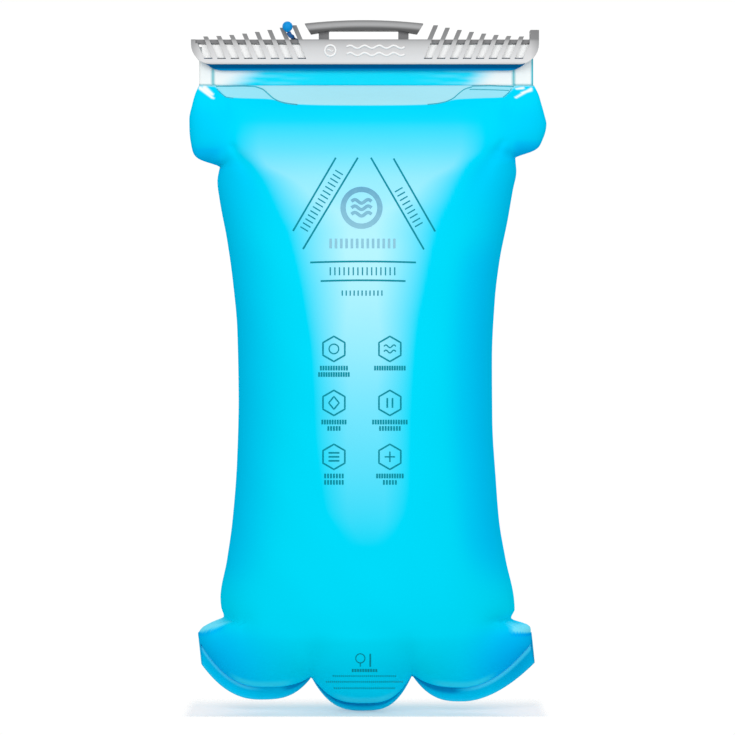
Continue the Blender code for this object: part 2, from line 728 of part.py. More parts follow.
def spring_cage(finish):
    """A cup inside the bag that backs the valve's spring, open at the sides for the water."""
    rim = COLLAR_INNER_Y - GAP
    floor = CAGE_FLOOR_Y + CAGE_FLOOR_THICKNESS
    hole = 2 * MM
    profile = [
        (CAGE_INNER, rim),
        (CAGE_OUTER, rim),
        (CAGE_OUTER, CAGE_FLOOR_Y),
        (hole, CAGE_FLOOR_Y),
        (hole, floor),
        (CAGE_INNER, floor),
    ]
    made = turned("spring_cage", profile, finish)
    reach, half = CAGE_OUTER + CLEAR, 3.5 * MM
    start, end = floor + MM, rim - 2 * MM
    for name, x, z in (("cage_window_flat", reach, half), ("cage_window_upright", half, reach)):
        boolean(made, box(name, (-x, start, PORT_Z - z), (x, end, PORT_Z + z)))


# Assembly -----------------------------------------------------------------------------------------------


def soft_goods():
    blue = material("blue_film", BLUE_FILM, 0.25)
    clear = material("clear_film", CLEAR_FILM, 0.2)
    film_panel("front_film_panel", -1, blue)
    back_film_panel(blue)
    bottom_weld_strip(blue)
    neck_film("neck_front_film", -1, clear)
    neck_film("neck_back_film", 1, clear)
    folded_mouth(clear)


def closure():
    blue = material("rail_blue", RAIL_BLUE, 0.35)
    rail("front_rail", -1, blue)
    rail("back_rail", 1, blue)
    slider_channel(material("light_grey_plastic", LIGHT_GREY, 0.42))
    handle_grip(material("dark_grey_rubber", DARK_GREY, 0.55))
    cord_blue = material("tether_blue", TETHER_BLUE, 0.4)
    tether_anchor(blue)
    tube("tether_cord", through(tether_route()), CORD_RADIUS, cord_blue)
    tether_ball(cord_blue)


def port():
    grey = material("port_grey", PORT_GREY, 0.45)
    rubber = material("seal_rubber", SEAL_BLACK, 0.7)
    steel = material("spring_steel", STEEL, 0.3, 1.0)
    port_flange(grey)
    port_housing(grey)
    port_o_ring(rubber)
    latch_plate(grey)
    release_button(material("button_blue", TETHER_BLUE, 0.4))
    latch_spring(steel)
    valve_poppet(grey)
    poppet_seal(rubber)
    valve_spring(steel)
    spring_cage(grey)


clear_scene()
PARTS = collection("hydration_bladder")
CUTTERS = collection("cutters")
soft_goods()
closure()
port()
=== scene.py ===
"""The looks of the hydration bladder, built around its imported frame. Metres, +Z up, the front faces -Y."""

import math

import bmesh
import bpy
import numpy as np
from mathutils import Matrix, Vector


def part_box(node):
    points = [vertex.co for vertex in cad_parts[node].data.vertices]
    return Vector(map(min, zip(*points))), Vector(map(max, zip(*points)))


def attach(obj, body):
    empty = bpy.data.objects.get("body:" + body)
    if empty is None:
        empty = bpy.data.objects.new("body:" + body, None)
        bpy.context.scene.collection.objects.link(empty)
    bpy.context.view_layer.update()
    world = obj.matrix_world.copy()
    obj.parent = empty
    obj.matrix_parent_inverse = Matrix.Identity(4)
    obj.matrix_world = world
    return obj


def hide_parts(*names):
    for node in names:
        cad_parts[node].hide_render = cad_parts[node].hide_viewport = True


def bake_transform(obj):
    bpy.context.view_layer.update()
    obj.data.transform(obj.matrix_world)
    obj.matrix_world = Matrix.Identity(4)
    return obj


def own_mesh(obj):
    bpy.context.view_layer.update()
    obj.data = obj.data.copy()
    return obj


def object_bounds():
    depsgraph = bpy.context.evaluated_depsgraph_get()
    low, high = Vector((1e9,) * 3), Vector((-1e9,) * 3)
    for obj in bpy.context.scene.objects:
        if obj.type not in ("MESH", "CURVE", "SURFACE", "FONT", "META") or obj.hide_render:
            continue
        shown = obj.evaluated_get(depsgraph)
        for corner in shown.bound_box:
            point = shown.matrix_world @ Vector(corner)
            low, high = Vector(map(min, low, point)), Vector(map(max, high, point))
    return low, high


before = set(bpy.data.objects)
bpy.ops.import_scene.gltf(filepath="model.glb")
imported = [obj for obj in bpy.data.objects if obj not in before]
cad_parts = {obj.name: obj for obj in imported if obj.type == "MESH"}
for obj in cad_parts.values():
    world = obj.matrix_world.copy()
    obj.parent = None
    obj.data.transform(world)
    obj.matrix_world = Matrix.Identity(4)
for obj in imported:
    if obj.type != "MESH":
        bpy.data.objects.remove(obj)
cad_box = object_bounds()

MM = 0.001
SLIDER, BAG, LATCH, VALVE = "closure_slider", "reservoir", "tube_latch", "shutoff_valve"


# Scene and node helpers ------------


def put(name, data):
    """A new object in the scene."""
    made = bpy.data.objects.new(name, data)
    bpy.context.scene.collection.objects.link(made)
    return made


def feed(node, **inputs):
    """Links or sets the node's inputs, named with underscores for their spaces."""
    for name, value in inputs.items():
        socket = node.inputs[name.replace("_", " ")]
        if isinstance(value, bpy.types.NodeSocket):
            node.id_data.links.new(value, socket)
        else:
            socket.default_value = value


def add_node(tree, kind, **inputs):
    """A new shader node, with its inputs linked or set."""
    node = tree.nodes.new("ShaderNode" + kind)
    feed(node, **inputs)
    return node


def new_material(name):
    made = bpy.data.materials.new(name)
    made.use_nodes = True
    return made, made.node_tree, made.node_tree.nodes["Principled BSDF"]


def object_axes(tree, kind="Object"):
    place = add_node(tree, "TexCoord")
    return add_node(tree, "SeparateXYZ", Vector=place.outputs[kind]).outputs


def maths(tree, operation, first, second=0.0):
    node = add_node(tree, "Math")
    node.operation = operation
    for value, socket in zip((first, second), node.inputs):
        if isinstance(value, float):
            socket.default_value = value
        else:
            tree.links.new(value, socket)
    return node.outputs[0]


def ranged(tree, value, low, high, to_low=0.0, to_high=1.0):
    limits = {"From_Min": low, "From_Max": high, "To_Min": to_low, "To_Max": to_high}
    return add_node(tree, "MapRange", Value=value, **limits).outputs["Result"]


def mixed(tree, factor, first, second):
    """A colour mixed from two, each a colour or a socket."""
    mix = add_node(tree, "Mix")
    mix.data_type = "RGBA"
    first, second = ((*v, 1.0) if isinstance(v, tuple) else v for v in (first, second))
    feed(mix, Factor=factor, A=first, B=second)
    return mix.outputs["Result"]


def noise(tree, scale, detail=3.0, stretch=(1.0, 1.0, 1.0)):
    place = add_node(tree, "TexCoord").outputs["Object"]
    place = add_node(tree, "Mapping", Vector=place, Scale=stretch).outputs[0]
    return add_node(tree, "TexNoise", Vector=place, Scale=scale, Detail=detail).outputs["Fac"]


# Camera, lights and stage ------------

FIELD = 0.3675  # width of the picture at the object
CAMERA_DISTANCE = 1.7
CAMERA_TILT = 1.5  # degrees downwards
LOOK_AT = Vector((0.001, 0.0, -0.1678))
SENSOR = 36.0
BASE_LIGHT, WALL_LIGHT, CEILING_LIGHT, WHITE_LIGHT = 0.34, 0.60, 0.22, 1.02
WHITE = (1.0, 1.0, 1.0, 1.0)


def make_camera():
    data = bpy.data.cameras.new("camera")
    data.sensor_width = SENSOR
    data.lens = SENSOR * CAMERA_DISTANCE / FIELD
    data.clip_end = 30.0
    camera = put("camera", data)
    tilt = math.radians(CAMERA_TILT)
    camera.location = LOOK_AT + CAMERA_DISTANCE * Vector((0.0, -math.cos(tilt), math.sin(tilt)))
    camera.rotation_euler = (LOOK_AT - camera.location).to_track_quat("-Z", "Y").to_euler()
    bpy.context.scene.camera = camera


def area_light(name, place, size, power):
    data = bpy.data.lights.new(name, "AREA")
    data.shape = "RECTANGLE"
    data.size, data.size_y = size
    data.energy = power
    lamp = put(name, data)
    lamp.location = place
    lamp.rotation_euler = (LOOK_AT - Vector(place)).to_track_quat("-Z", "Y").to_euler()


def make_world():
    """White to the camera. To everything else, a studio with bright front and back walls and dark sides."""
    world = bpy.data.worlds.new("studio")
    bpy.context.scene.world = world
    world.use_nodes = True
    tree = world.node_tree
    tree.nodes.clear()
    axes = object_axes(tree, "Generated")
    walls = maths(tree, "MULTIPLY", maths(tree, "ABSOLUTE", axes["Y"]), WALL_LIGHT)
    ceiling = maths(tree, "MULTIPLY", maths(tree, "MAXIMUM", axes["Z"]), CEILING_LIGHT)
    level = maths(tree, "ADD", maths(tree, "ADD", walls, ceiling), BASE_LIGHT)
    room = add_node(tree, "Background", Color=WHITE, Strength=level)
    white = add_node(tree, "Background", Color=WHITE, Strength=WHITE_LIGHT)
    rays = add_node(tree, "LightPath")
    mix = add_node(tree, "MixShader", Fac=rays.outputs["Is Camera Ray"])
    tree.links.new(room.outputs[0], mix.inputs[1])
    tree.links.new(white.outputs[0], mix.inputs[2])
    add_node(tree, "OutputWorld", Surface=mix.outputs[0])


FLOOR_DROP = 0.0006  # below the bag's lowest point
FLOOR_HALF_WIDTH, FLOOR_HALF_DEPTH = 0.2, 0.16
# The floor's warm tint is painted to offset the blue light that the bag bounces onto it
FLOOR_COLOUR, FLOOR_SHOWN = (0.95, 0.91, 0.90, 1.0), 0.8
# Where the strip of floor starts to show and where it is fully there, along each axis
FLOOR_EDGES = (
    ("X", -0.0925, -0.086), ("X", 0.0925, 0.086), ("Y", -0.0238, -0.0190), ("Y", 0.060, 0.010),
)


def make_stage():
    """A shallow strip of pale floor under the bag, which ends in the white around it and holds the shadow;
    its edges cut the cast shadow into a band.
    """
    floor_z = cad_box[0][2] - FLOOR_DROP
    mesh = bpy.data.meshes.new("floor")
    x, y = FLOOR_HALF_WIDTH, FLOOR_HALF_DEPTH
    corners = [(-x, -y), (x, -y), (x, y), (-x, y)]
    mesh.from_pydata([(*corner, floor_z) for corner in corners], [], [(0, 1, 2, 3)])
    floor = put("floor", mesh)
    finish, tree, shader = new_material("floor_paint")
    axes = object_axes(tree)
    shown = FLOOR_SHOWN
    for axis, nothing, full in FLOOR_EDGES:
        edge = ranged(tree, axes[axis], nothing, full)
        edge.node.interpolation_type = "SMOOTHSTEP"
        shown = maths(tree, "MULTIPLY", edge, shown)
    feed(shader, Base_Color=FLOOR_COLOUR, Roughness=0.7, Specular_IOR_Level=0.0, Alpha=shown)
    mesh.materials.append(finish)


make_camera()
make_world()
make_stage()
area_light("key", (-0.5, -1.4, 0.8), (0.9, 0.7), 6.0)
area_light("fill", (0.8, -1.3, 0.3), (0.8, 0.8), 3.0)
area_light("back", (0.3, 1.4, 0.6), (1.2, 0.9), 6.0)
bpy.context.scene.view_settings.view_transform = "Standard"


# Mesh helpers ------------


def add_mesh(name, points, faces, material):
    mesh = bpy.data.meshes.new(name)
    mesh.from_pydata([tuple(p) for p in points], [], faces)
    mesh.validate()
    made = put(name, mesh)
    mesh.materials.append(material)
    mesh.shade_smooth()
    return made


def grid_faces(rows, columns, flip=False):
    starts = (r * columns + c for r in range(rows - 1) for c in range(columns - 1))
    faces = [(a, a + columns, a + columns + 1, a + 1) for a in starts]
    return [face[::-1] for face in faces] if flip else faces


def from_bmesh(built, name, material):
    mesh = bpy.data.meshes.new(name)
    built.to_mesh(mesh)
    built.free()
    made = put(name, mesh)
    mesh.materials.append(material)
    mesh.shade_smooth()
    return made


def thicken(made, thickness):
    shell = made.modifiers.new("thickness", "SOLIDIFY")
    shell.thickness = thickness
    shell.offset = 0.0
    shell.use_even_offset = False


def settle(made, body, slot, *nodes):
    """Applies the piece's modifiers, rides it on its body and hides the nodes that it stands for. The slot is
    not used.
    """
    if made.modifiers:
        graph = bpy.context.evaluated_depsgraph_get()
        mesh = bpy.data.meshes.new_from_object(made.evaluated_get(graph))
        old = made.data
        made.modifiers.clear()
        made.data = mesh
        bpy.data.meshes.remove(old)
    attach(made, body)
    if nodes:
        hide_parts(*nodes)
    return made


FACET_ANGLE, SHARP_ANGLE, BEVEL_ANGLE = (math.radians(a) for a in (0.5, 40.0, 25.0))


def refined(node, material, width):
    """A copy of a CAD node with its flat facets joined and its edges rounded."""
    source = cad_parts[node]
    built = bmesh.new()
    built.from_mesh(source.data)
    built.transform(source.matrix_world)
    bmesh.ops.remove_doubles(built, verts=built.verts, dist=1e-6)
    bmesh.ops.dissolve_limit(built, angle_limit=FACET_ANGLE, verts=built.verts, edges=built.edges)
    made = from_bmesh(built, f"{node}_fine", material)
    made.data.set_sharp_from_angle(angle=SHARP_ANGLE)
    if width:
        soft = made.modifiers.new("edges", "BEVEL")
        soft.width = width
        soft.segments = 3
        soft.limit_method = "ANGLE"
        soft.angle_limit = BEVEL_ANGLE
        soft.harden_normals = True
    return made


def pchip(xs, ys, at):
    """Smooth interpolation that never overshoots its points."""
    xs, ys = np.array(xs, float), np.array(ys, float)
    run, slope = np.diff(xs), np.diff(ys) / np.diff(xs)
    tangent = np.zeros_like(ys)
    tangent[0], tangent[-1] = slope[0], slope[-1]
    same = slope[:-1] * slope[1:] > 0
    w1, w2 = 2 * run[1:] + run[:-1], run[1:] + 2 * run[:-1]
    with np.errstate(divide="ignore", invalid="ignore"):
        mean = (w1 + w2) / (w1 / slope[:-1] + w2 / slope[1:])
    tangent[1:-1] = np.where(same, mean, 0.0)
    at = np.clip(at, xs[0], xs[-1])
    i = np.clip(np.searchsorted(xs, at) - 1, 0, len(run) - 1)
    t = (at - xs[i]) / run[i]
    h00, h10 = (1 + 2 * t) * (1 - t) ** 2, t * (1 - t) ** 2
    h01, h11 = t * t * (3 - 2 * t), t * t * (t - 1)
    return h00 * ys[i] + h10 * run[i] * tangent[i] + h01 * ys[i + 1] + h11 * run[i] * tangent[i + 1]


def through(points, each):
    """A smooth curve through the points."""
    padded = [2 * points[0] - points[1], *points, 2 * points[-1] - points[-2]]
    found = []
    for before, start, end, after in zip(padded, padded[1:], padded[2:], padded[3:]):
        for i in range(each):
            t = i / each
            bend = 2 * before - 5 * start + 4 * end - after
            twist = 3 * start - before - 3 * end + after
            found.append(start + ((end - before) * t + bend * t**2 + twist * t**3) / 2)
    return found + [points[-1]]


def ease(low, high, value):
    """0 at the first value and 1 at the second, with soft ends."""
    t = np.clip((value - low) / (high - low), 0.0, 1.0)
    return t * t * (3 - 2 * t)


# Shape of the film bag, in millimetres from the frame's origin ------------

BAG_TOP = -27.0
# height and x of each side, from the neck down over the ear, the waist and the top of the lobe
LEFT_SIDE = (
    (-27, -83), (-31.5, -85), (-36.5, -86.4), (-44, -87.9), (-50, -87.8), (-57, -86.9),
    (-61, -85.8), (-63.3, -83.8), (-64.8, -80.7), (-66.3, -76), (-67.6, -72.7), (-70, -73.2),
    (-75, -73.9), (-84, -72.8), (-104, -69.1), (-124, -66.3), (-150, -64), (-184, -63.4),
    (-214, -64.2), (-244, -66.5), (-264, -69.3), (-283, -72.6), (-288, -72.2),
    (-292, -70.9), (-293.7, -71.4), (-294.8, -75.4), (-296.3, -78.6), (-298, -81.6),
    (-301, -83.6), (-306, -82.7),
)
RIGHT_SIDE = (
    (-27, 84), (-31.5, 86.3), (-36.5, 87.8), (-41.5, 89.2), (-46.5, 90.3), (-50, 89.8),
    (-54, 88.4), (-57.3, 86.8), (-58.8, 85.3), (-60.3, 82.3), (-61.8, 77.8), (-63.2, 74.8),
    (-65, 74.9), (-70, 75.3), (-79, 73.6), (-94, 71), (-114, 67), (-134, 64.6),
    (-164, 63.2), (-194, 63.4), (-224, 65.2), (-244, 66.8), (-264, 70.2), (-284, 74.4),
    (-289, 74.7), (-292.6, 73), (-293.9, 72.9), (-295.2, 76.2), (-296.5, 80.8), (-298.2, 82.7),
    (-306, 82.9),
)
SIDE_END = -306.0
# (x, height) of the two darts, and (x, seam height, edge height) of the three lobes
DARTS = ((-27.0, -322.3), (23.3, -321.2))
LOBES = ((-52.0, -328.0, -334.2), (0.0, -336.0, -339.6), (49.0, -328.2, -335.0))
OUTER_POWER = (2.3, 1.9)
LOBE_POWER = 3.0
EDGE_CORNERS = ((-82.0, -316.5), (84.6, -315.7))
# height and depth in front of the middle plane, on the centre line
FRONT_DEPTH = (
    (-27, 0.9), (-31, 4.2), (-36.5, 9.5), (-46, 17), (-56, 23.5), (-66, 29),
    (-90, 36.2), (-116, 40), (-150, 42.5), (-184, 43.6), (-214, 43.4), (-244, 42.4),
    (-268, 40.4), (-284, 38.2), (-300, 34.6),
)
COLUMNS, ROWS = 151, 281
NECK_DEPTH = 0.75  # of the film's face at the edges and the neck


def profile(table, column, z):
    """A column of a table whose rows go down from the top, at each height."""
    rows = np.array(table, float)
    return pchip(-rows[:, 0], rows[:, column], -np.asarray(z, float))


def side_x(side, z):
    return profile(side, 1, z)


def eased_sides(z):
    """Both sides averaged over nearby heights, so that the grid's inside has no kink where a side has one."""
    reach = np.minimum(9.0, np.minimum(z - SIDE_END, BAG_TOP - z))
    levels = [z + reach * k / 3 for k in range(-3, 4)]
    return [sum(side_x(side, level) for level in levels) / 7 for side in (LEFT_SIDE, RIGHT_SIDE)]


def lobed(x, level, corners):
    """Height of the bottom, level 1 for the seam and 2 for the outer edge."""
    tops = (corners[0], *DARTS, corners[1])
    height = np.zeros_like(x)
    for k, (place, *lows) in enumerate(LOBES):
        low = lows[level - 1]
        for edge, top in tops[k : k + 2]:
            outer = (edge, top) in corners
            here = (x >= place) if edge > place else (x < place)
            if not outer:
                here = here & ((x < edge) if edge > place else (x >= edge))
            power = OUTER_POWER[k // 2] if outer else LOBE_POWER
            share = np.clip((x - place) / (edge - place), 0, 1)
            height = np.where(here, low + (top - low) * share**power, height)
    return height


SEAM_CORNERS = tuple((float(side_x(side, SIDE_END)), SIDE_END) for side in (LEFT_SIDE, RIGHT_SIDE))


def bottom_line(level, corners, shares):
    """x and height along the seam or the outer edge, at shares of the way from left to right."""
    x = corners[0][0] + (corners[1][0] - corners[0][0]) * shares
    return x, lobed(x, level, corners)


def graded(count, bumps):
    """Shares from 0 to 1, closer together at each (place, width, gain)."""
    fine = np.linspace(0, 1, 4001)
    density = np.ones_like(fine)
    for place, width, gain in bumps:
        density += gain * np.exp(-(((fine - place) / width) ** 2))
    total = np.concatenate([[0], np.cumsum((density[1:] + density[:-1]) / 2)])
    return np.interp(np.linspace(0, total[-1], count), total, fine)


def bag_grid():
    """x and z of the grid that both faces share. Rows run down, columns to the right."""
    across = 0.5 - 0.5 * np.cos(np.pi * graded(COLUMNS, ((0.36, 0.03, 1.0), (0.615, 0.03, 1.0))))
    down = graded(ROWS, ((0.02, 0.03, 6.0), (0.12, 0.02, 3.0), (0.865, 0.012, 4.0), (1.0, 0.02, 4.0)))
    _, bottom = bottom_line(1, SEAM_CORNERS, across)
    z = BAG_TOP + (bottom[None, :] - BAG_TOP) * down[:, None]
    z_side = np.maximum(z, SIDE_END)
    left, right = eased_sides(z_side)
    x = left + (right - left) * across[None, :]
    x += (side_x(LEFT_SIDE, z_side) - left) * ease(0.22, 0, across)[None, :]
    x += (side_x(RIGHT_SIDE, z_side) - right) * ease(0.78, 1, across)[None, :]
    return x, z, across, down, bottom


def cotangent_edges(points, triangles):
    """The edges of the triangles and their cotangent weights."""
    first, second, weight = [], [], []
    for k in range(3):
        a, b, c = (triangles[:, (k + i) % 3] for i in range(3))
        u, v = points[a] - points[c], points[b] - points[c]
        area = np.abs(u[:, 0] * v[:, 1] - u[:, 1] * v[:, 0])
        first.append(a)
        second.append(b)
        weight.append(0.5 * (u * v).sum(axis=1) / np.maximum(area, 1e-9))
    return np.concatenate(first), np.concatenate(second), np.clip(np.concatenate(weight), -5, 50)


def swell(x, z):
    """How a thin skin held at the grid's border swells, from the border's 0 to the middle's largest."""
    rows, columns = x.shape
    points = np.stack([x.ravel(), z.ravel()], axis=1)
    index = np.arange(rows * columns).reshape(rows, columns)
    a, b = index[:-1, :-1].ravel(), index[:-1, 1:].ravel()
    c, d = index[1:, :-1].ravel(), index[1:, 1:].ravel()
    triangles = np.concatenate([np.stack([a, c, d], 1), np.stack([a, d, b], 1)])
    start, end, weight = cotangent_edges(points, triangles)
    size = rows * columns
    diagonal = np.bincount(start, weight, size) + np.bincount(end, weight, size)
    u = points[triangles[:, 1]] - points[triangles[:, 0]]
    v = points[triangles[:, 2]] - points[triangles[:, 0]]
    area = np.abs(u[:, 0] * v[:, 1] - u[:, 1] * v[:, 0]) / 2
    load = sum(np.bincount(triangles[:, k], area / 3, size) for k in range(3))
    free = np.zeros((rows, columns), bool)
    free[1:-1, 1:-1] = True
    free = free.ravel()

    def applied(h):
        flow = diagonal * h
        flow -= np.bincount(start, weight * h[end], size) + np.bincount(end, weight * h[start], size)
        return np.where(free, flow, 0.0)

    h = np.zeros(size)
    left = np.where(free, load, 0.0)
    scale = np.where(free, 1.0 / np.maximum(diagonal, 1e-9), 0.0)
    step = scale * left
    size_now = left @ step
    for _ in range(700):
        flow = applied(step)
        gain = size_now / (step @ flow)
        h += gain * step
        left -= gain * flow
        better = scale * left
        size_next = left @ better
        if size_next < 1e-12 * size:
            break
        step = better + size_next / size_now * step
        size_now = size_next
    return np.maximum(h, 0.0).reshape(rows, columns)


def near_line(x, z, start, end):
    """Distance to a line, and how far along it, from 0 to 1."""
    run = np.array(end) - np.array(start)
    along = ((x - start[0]) * run[0] + (z - start[1]) * run[1]) / (run @ run)
    t = np.clip(along, 0, 1)
    return np.hypot(x - start[0] - t * run[0], z - start[1] - t * run[1]), along


# Soft valleys in the film: start, end, width at the end, depth. They fade out towards the end.
CREASES = (
    ((-72.5, -67.5), (-52, -61), 6, 1.7), ((-72.5, -67.5), (-60, -50), 7, 0.9),
    ((74.6, -63.2), (52, -58), 6, 1.7), ((74.6, -63.2), (62, -47), 7, 0.9),
    ((-27, -322.3), (-22, -296), 9, 1.7), ((23.3, -321.2), (19, -294), 9, 1.7),
    ((-71, -292.6), (-52, -298), 9, 1.1), ((72.4, -294), (52, -299), 9, 1.1),
    ((-74, -27), (-66, -52), 5, 1.6), ((75, -27), (68, -50), 5, 1.6),
    ((-66, -58), (-44, -92), 9, 0.9), ((68, -56), (43, -92), 9, 0.9),
)


def creased(x, z):
    """Depth of the valleys at each point."""
    total = np.zeros_like(x)
    for start, end, width, depth in CREASES:
        away, along = near_line(x, z, start, end)
        spread = 1.5 + (width - 1.5) * np.clip(along, 0, 1)
        fade = 1 - ease(0.25, 1, along)
        total += depth * fade * np.exp(-((away / spread) ** 2))
    return total


def ripple(x, z, side):
    """Slow unevenness of the film."""
    slow = 0.35 * np.sin(x / 13.0 + 0.6 * side + 0.7 * np.sin(z / 31.0)) * np.sin(z / 27.0 + side)
    return slow + 0.15 * np.sin(x / 5.5 + z / 17.0 + 2.0 * side) * np.cos(z / 9.0)


PORT_Z, PORT_HOLE = -287.0, 11.9
PAD_Y, PAD_RADIUS, PAD_BLEND = 33.45, 20.0, 19.0


def bag_depths():
    x, z, across, down, bottom = bag_grid()
    h = swell(x, z)
    root = np.sqrt(h)
    middle = int(np.argmin(np.abs(across - 0.5)))
    last = FRONT_DEPTH[-1][0]
    centre_z, centre_root = z[:, middle], np.maximum(root[:, middle], 1e-6)
    gain = profile(FRONT_DEPTH, 1, centre_z) / centre_root
    fixed = np.interp(-last, -centre_z, gain)
    gain = np.where(centre_z < last, fixed, gain)
    gain[0] = gain[1]
    factor = np.interp(-z, -centre_z, gain)
    base = factor * root
    border = np.clip(base / 6.0, 0, 1)
    depths = []
    for side in (-1, 1):
        depth = base - (creased(x, z) - ripple(x, z, side)) * border
        if side > 0:
            share = ease(PAD_RADIUS, PAD_RADIUS + PAD_BLEND, np.hypot(x, z - PORT_Z))
            depth = (PAD_Y - NECK_DEPTH) * (1 - share) + depth * share
        depths.append(np.maximum(depth, 0.0) + NECK_DEPTH)
    return x, z, across, down, bottom, depths[0], depths[1]


GRID_X, GRID_Z, ACROSS, DOWN, BOTTOM, FRONT, BACK = bag_depths()


def seen_from_front(x, z, depth):
    """Where a point that far in front of the middle plane appears on that plane, seen from the camera."""
    gain = 1000 * CAMERA_DISTANCE / (1000 * CAMERA_DISTANCE - depth)
    x_axis, z_axis = 1000 * LOOK_AT.x, 1000 * LOOK_AT.z
    drop = depth * math.tan(math.radians(CAMERA_TILT))
    return x_axis + (x - x_axis) * gain, z_axis + (z - z_axis - drop) * gain


def on_film(x, z):
    """The point of the front film that appears at that place on the middle plane."""
    x, z = np.asarray(x, float), np.asarray(z, float)
    found_x, found_z = x, z
    for _ in range(4):
        seen_x, seen_z = seen_from_front(found_x, found_z, -front_y(found_x, found_z))
        found_x, found_z = found_x + x - seen_x, found_z + z - seen_z
    return found_x, found_z


def seam_height(x):
    """Height of the bottom seam."""
    return np.interp(x, GRID_X[-1], BOTTOM)


def front_y(x, z):
    """y of the bag's front face at a point, in millimetres."""
    x, z = np.asarray(x, float), np.asarray(z, float)
    left, right = eased_sides(np.clip(z, SIDE_END, BAG_TOP))
    s = np.clip((x - left) / (right - left), 0, 1)
    end = np.interp(s, ACROSS, BOTTOM)
    t = np.clip((z - BAG_TOP) / (end - BAG_TOP), 0, 1)
    c = np.interp(s, ACROSS, np.arange(COLUMNS))
    r = np.interp(t, DOWN, np.arange(ROWS))
    c0, r0 = np.minimum(c.astype(int), COLUMNS - 2), np.minimum(r.astype(int), ROWS - 2)
    fc, fr = c - c0, r - r0
    upper = FRONT[r0, c0] * (1 - fc) + FRONT[r0, c0 + 1] * fc
    lower = FRONT[r0 + 1, c0] * (1 - fc) + FRONT[r0 + 1, c0 + 1] * fc
    return -(upper * (1 - fr) + lower * fr)


# Materials ------------


def add_bump(tree, shader, height, strength, distance):
    bump = add_node(tree, "Bump", Height=height, Strength=strength, Distance=distance)
    feed(shader, Normal=bump.outputs["Normal"])


EDGE_BLUE = (0.0, 0.62, 0.94)
MID_BLUE = (0.0, 0.72, 0.97)
# Painted glow in the middle of the film
BRIGHT_BLUE = (0.50, 0.90, 1.0)
HEAD_PALE = (0.40, 0.79, 0.89)
# Painted highlight on the creases at the neck's ends
HIGHLIGHT_WHITE = (0.93, 0.99, 1.0)
# Painted shade of the film
SHADE_BLUE = (0.0, 0.37, 0.98)
# The weld strip's darker blue and its painted shade
STRIP_SHADE_BLUE = (0.0, 0.30, 0.60)
PRINT_TEAL = (0.0, 0.24, 0.32)


def tint_sockets(tree):
    """The three channels and the alpha of the piece's tint attribute."""
    tint = add_node(tree, "Attribute")
    tint.attribute_name = "tint"
    return add_node(tree, "SeparateColor", Color=tint.outputs["Color"]).outputs, tint.outputs["Alpha"]


def film_material(name, shade_colour):
    """Blue film. Its tint holds the painted glow, the headspace's paleness, the painted shade and the painted
    highlights at each point.
    """
    made, tree, shader = new_material(name)
    tint, strength = tint_sockets(tree)
    cloud = noise(tree, 18.0, 2.0)
    uneven = ranged(tree, cloud, 0.3, 0.7, 0.0, 0.12)
    base = mixed(tree, uneven, MID_BLUE, EDGE_BLUE)
    base = mixed(tree, tint["Red"], base, BRIGHT_BLUE)
    base = mixed(tree, tint["Blue"], base, shade_colour)
    base = mixed(tree, tint["Green"], base, HEAD_PALE)
    base = mixed(tree, strength, base, HIGHLIGHT_WHITE)
    grain = noise(tree, 900.0, 2.0)
    rough = ranged(tree, grain, 0.2, 0.8, 0.42, 0.52)
    feed(shader, Base_Color=base, Roughness=rough, Specular_IOR_Level=0.0, IOR=1.45)
    add_bump(tree, shader, grain, 0.12, 0.0002)
    return made


def clear_film_material():
    made, tree, shader = new_material("clear_film")
    tint, _ = tint_sockets(tree)
    base = mixed(tree, tint["Red"], (0.95, 1.0, 1.0), (0.0, 0.76, 1.0))
    base = mixed(tree, tint["Green"], base, (0.12, 0.55, 0.62))
    base = mixed(tree, tint["Blue"], base, (0.0, 0.48, 0.60))
    cloud = noise(tree, 60.0, 2.0, (1.0, 1.0, 2.5))
    rough = ranged(tree, cloud, 0.3, 0.7, 0.12, 0.24)
    feed(shader, Base_Color=base, Roughness=rough, Specular_IOR_Level=0.12, Alpha=0.93)
    add_bump(tree, shader, cloud, 0.25, 0.0008)
    return made


def grained(tree, shader, base, roughness, speckle, bump, specular):
    """The fine spark-eroded grain of a moulding, over its colour."""
    fine = noise(tree, speckle)
    rough = ranged(tree, fine, 0.25, 0.75, roughness - 0.06, roughness + 0.08)
    feed(shader, Base_Color=base, Roughness=rough, Specular_IOR_Level=specular)
    add_bump(tree, shader, fine, bump, 0.00015)


def moulded(name, colour, roughness, edge_tone, speckle=700.0, specular=0.5):
    """Moulded plastic or rubber, with a slow change of tone and lighter at its sharp edges."""
    made, tree, shader = new_material(name)
    dark = tuple(c * 0.88 for c in colour)
    base = mixed(tree, ranged(tree, noise(tree, 26.0), 0.3, 0.7), colour, dark)
    edges = add_node(tree, "NewGeometry").outputs["Pointiness"]
    base = mixed(tree, ranged(tree, edges, 0.53, 0.62, 0.0, 0.6), base, edge_tone)
    grained(tree, shader, base, roughness, speckle, 0.18, specular)
    return made


def patchy(name, scale, colours, most, roughness, **inputs):
    """Two colours in patches. The second reaches its share at most, and the roughness follows the patches."""
    made, tree, shader = new_material(name)
    patches = noise(tree, scale)
    base = mixed(tree, ranged(tree, patches, 0.3, 0.7, 0.0, most), *colours)
    feed(shader, Base_Color=base, Roughness=ranged(tree, patches, 0.2, 0.8, *roughness), **inputs)
    return made


def emblem_material():
    """The emblem's paler ink, lighter at its foot."""
    made, tree, shader = new_material("emblem_ink")
    share = ranged(tree, object_axes(tree)["Z"], -0.078, -0.100)
    base = mixed(tree, share, (0.07, 0.33, 0.52), (0.22, 0.52, 0.66))
    patches = noise(tree, 350.0)
    base = mixed(tree, ranged(tree, patches, 0.4, 0.7, 0.0, 0.2), base, (0.3, 0.65, 0.78))
    feed(shader, Base_Color=base, Roughness=ranged(tree, patches, 0.2, 0.8, 0.4, 0.55))
    return made


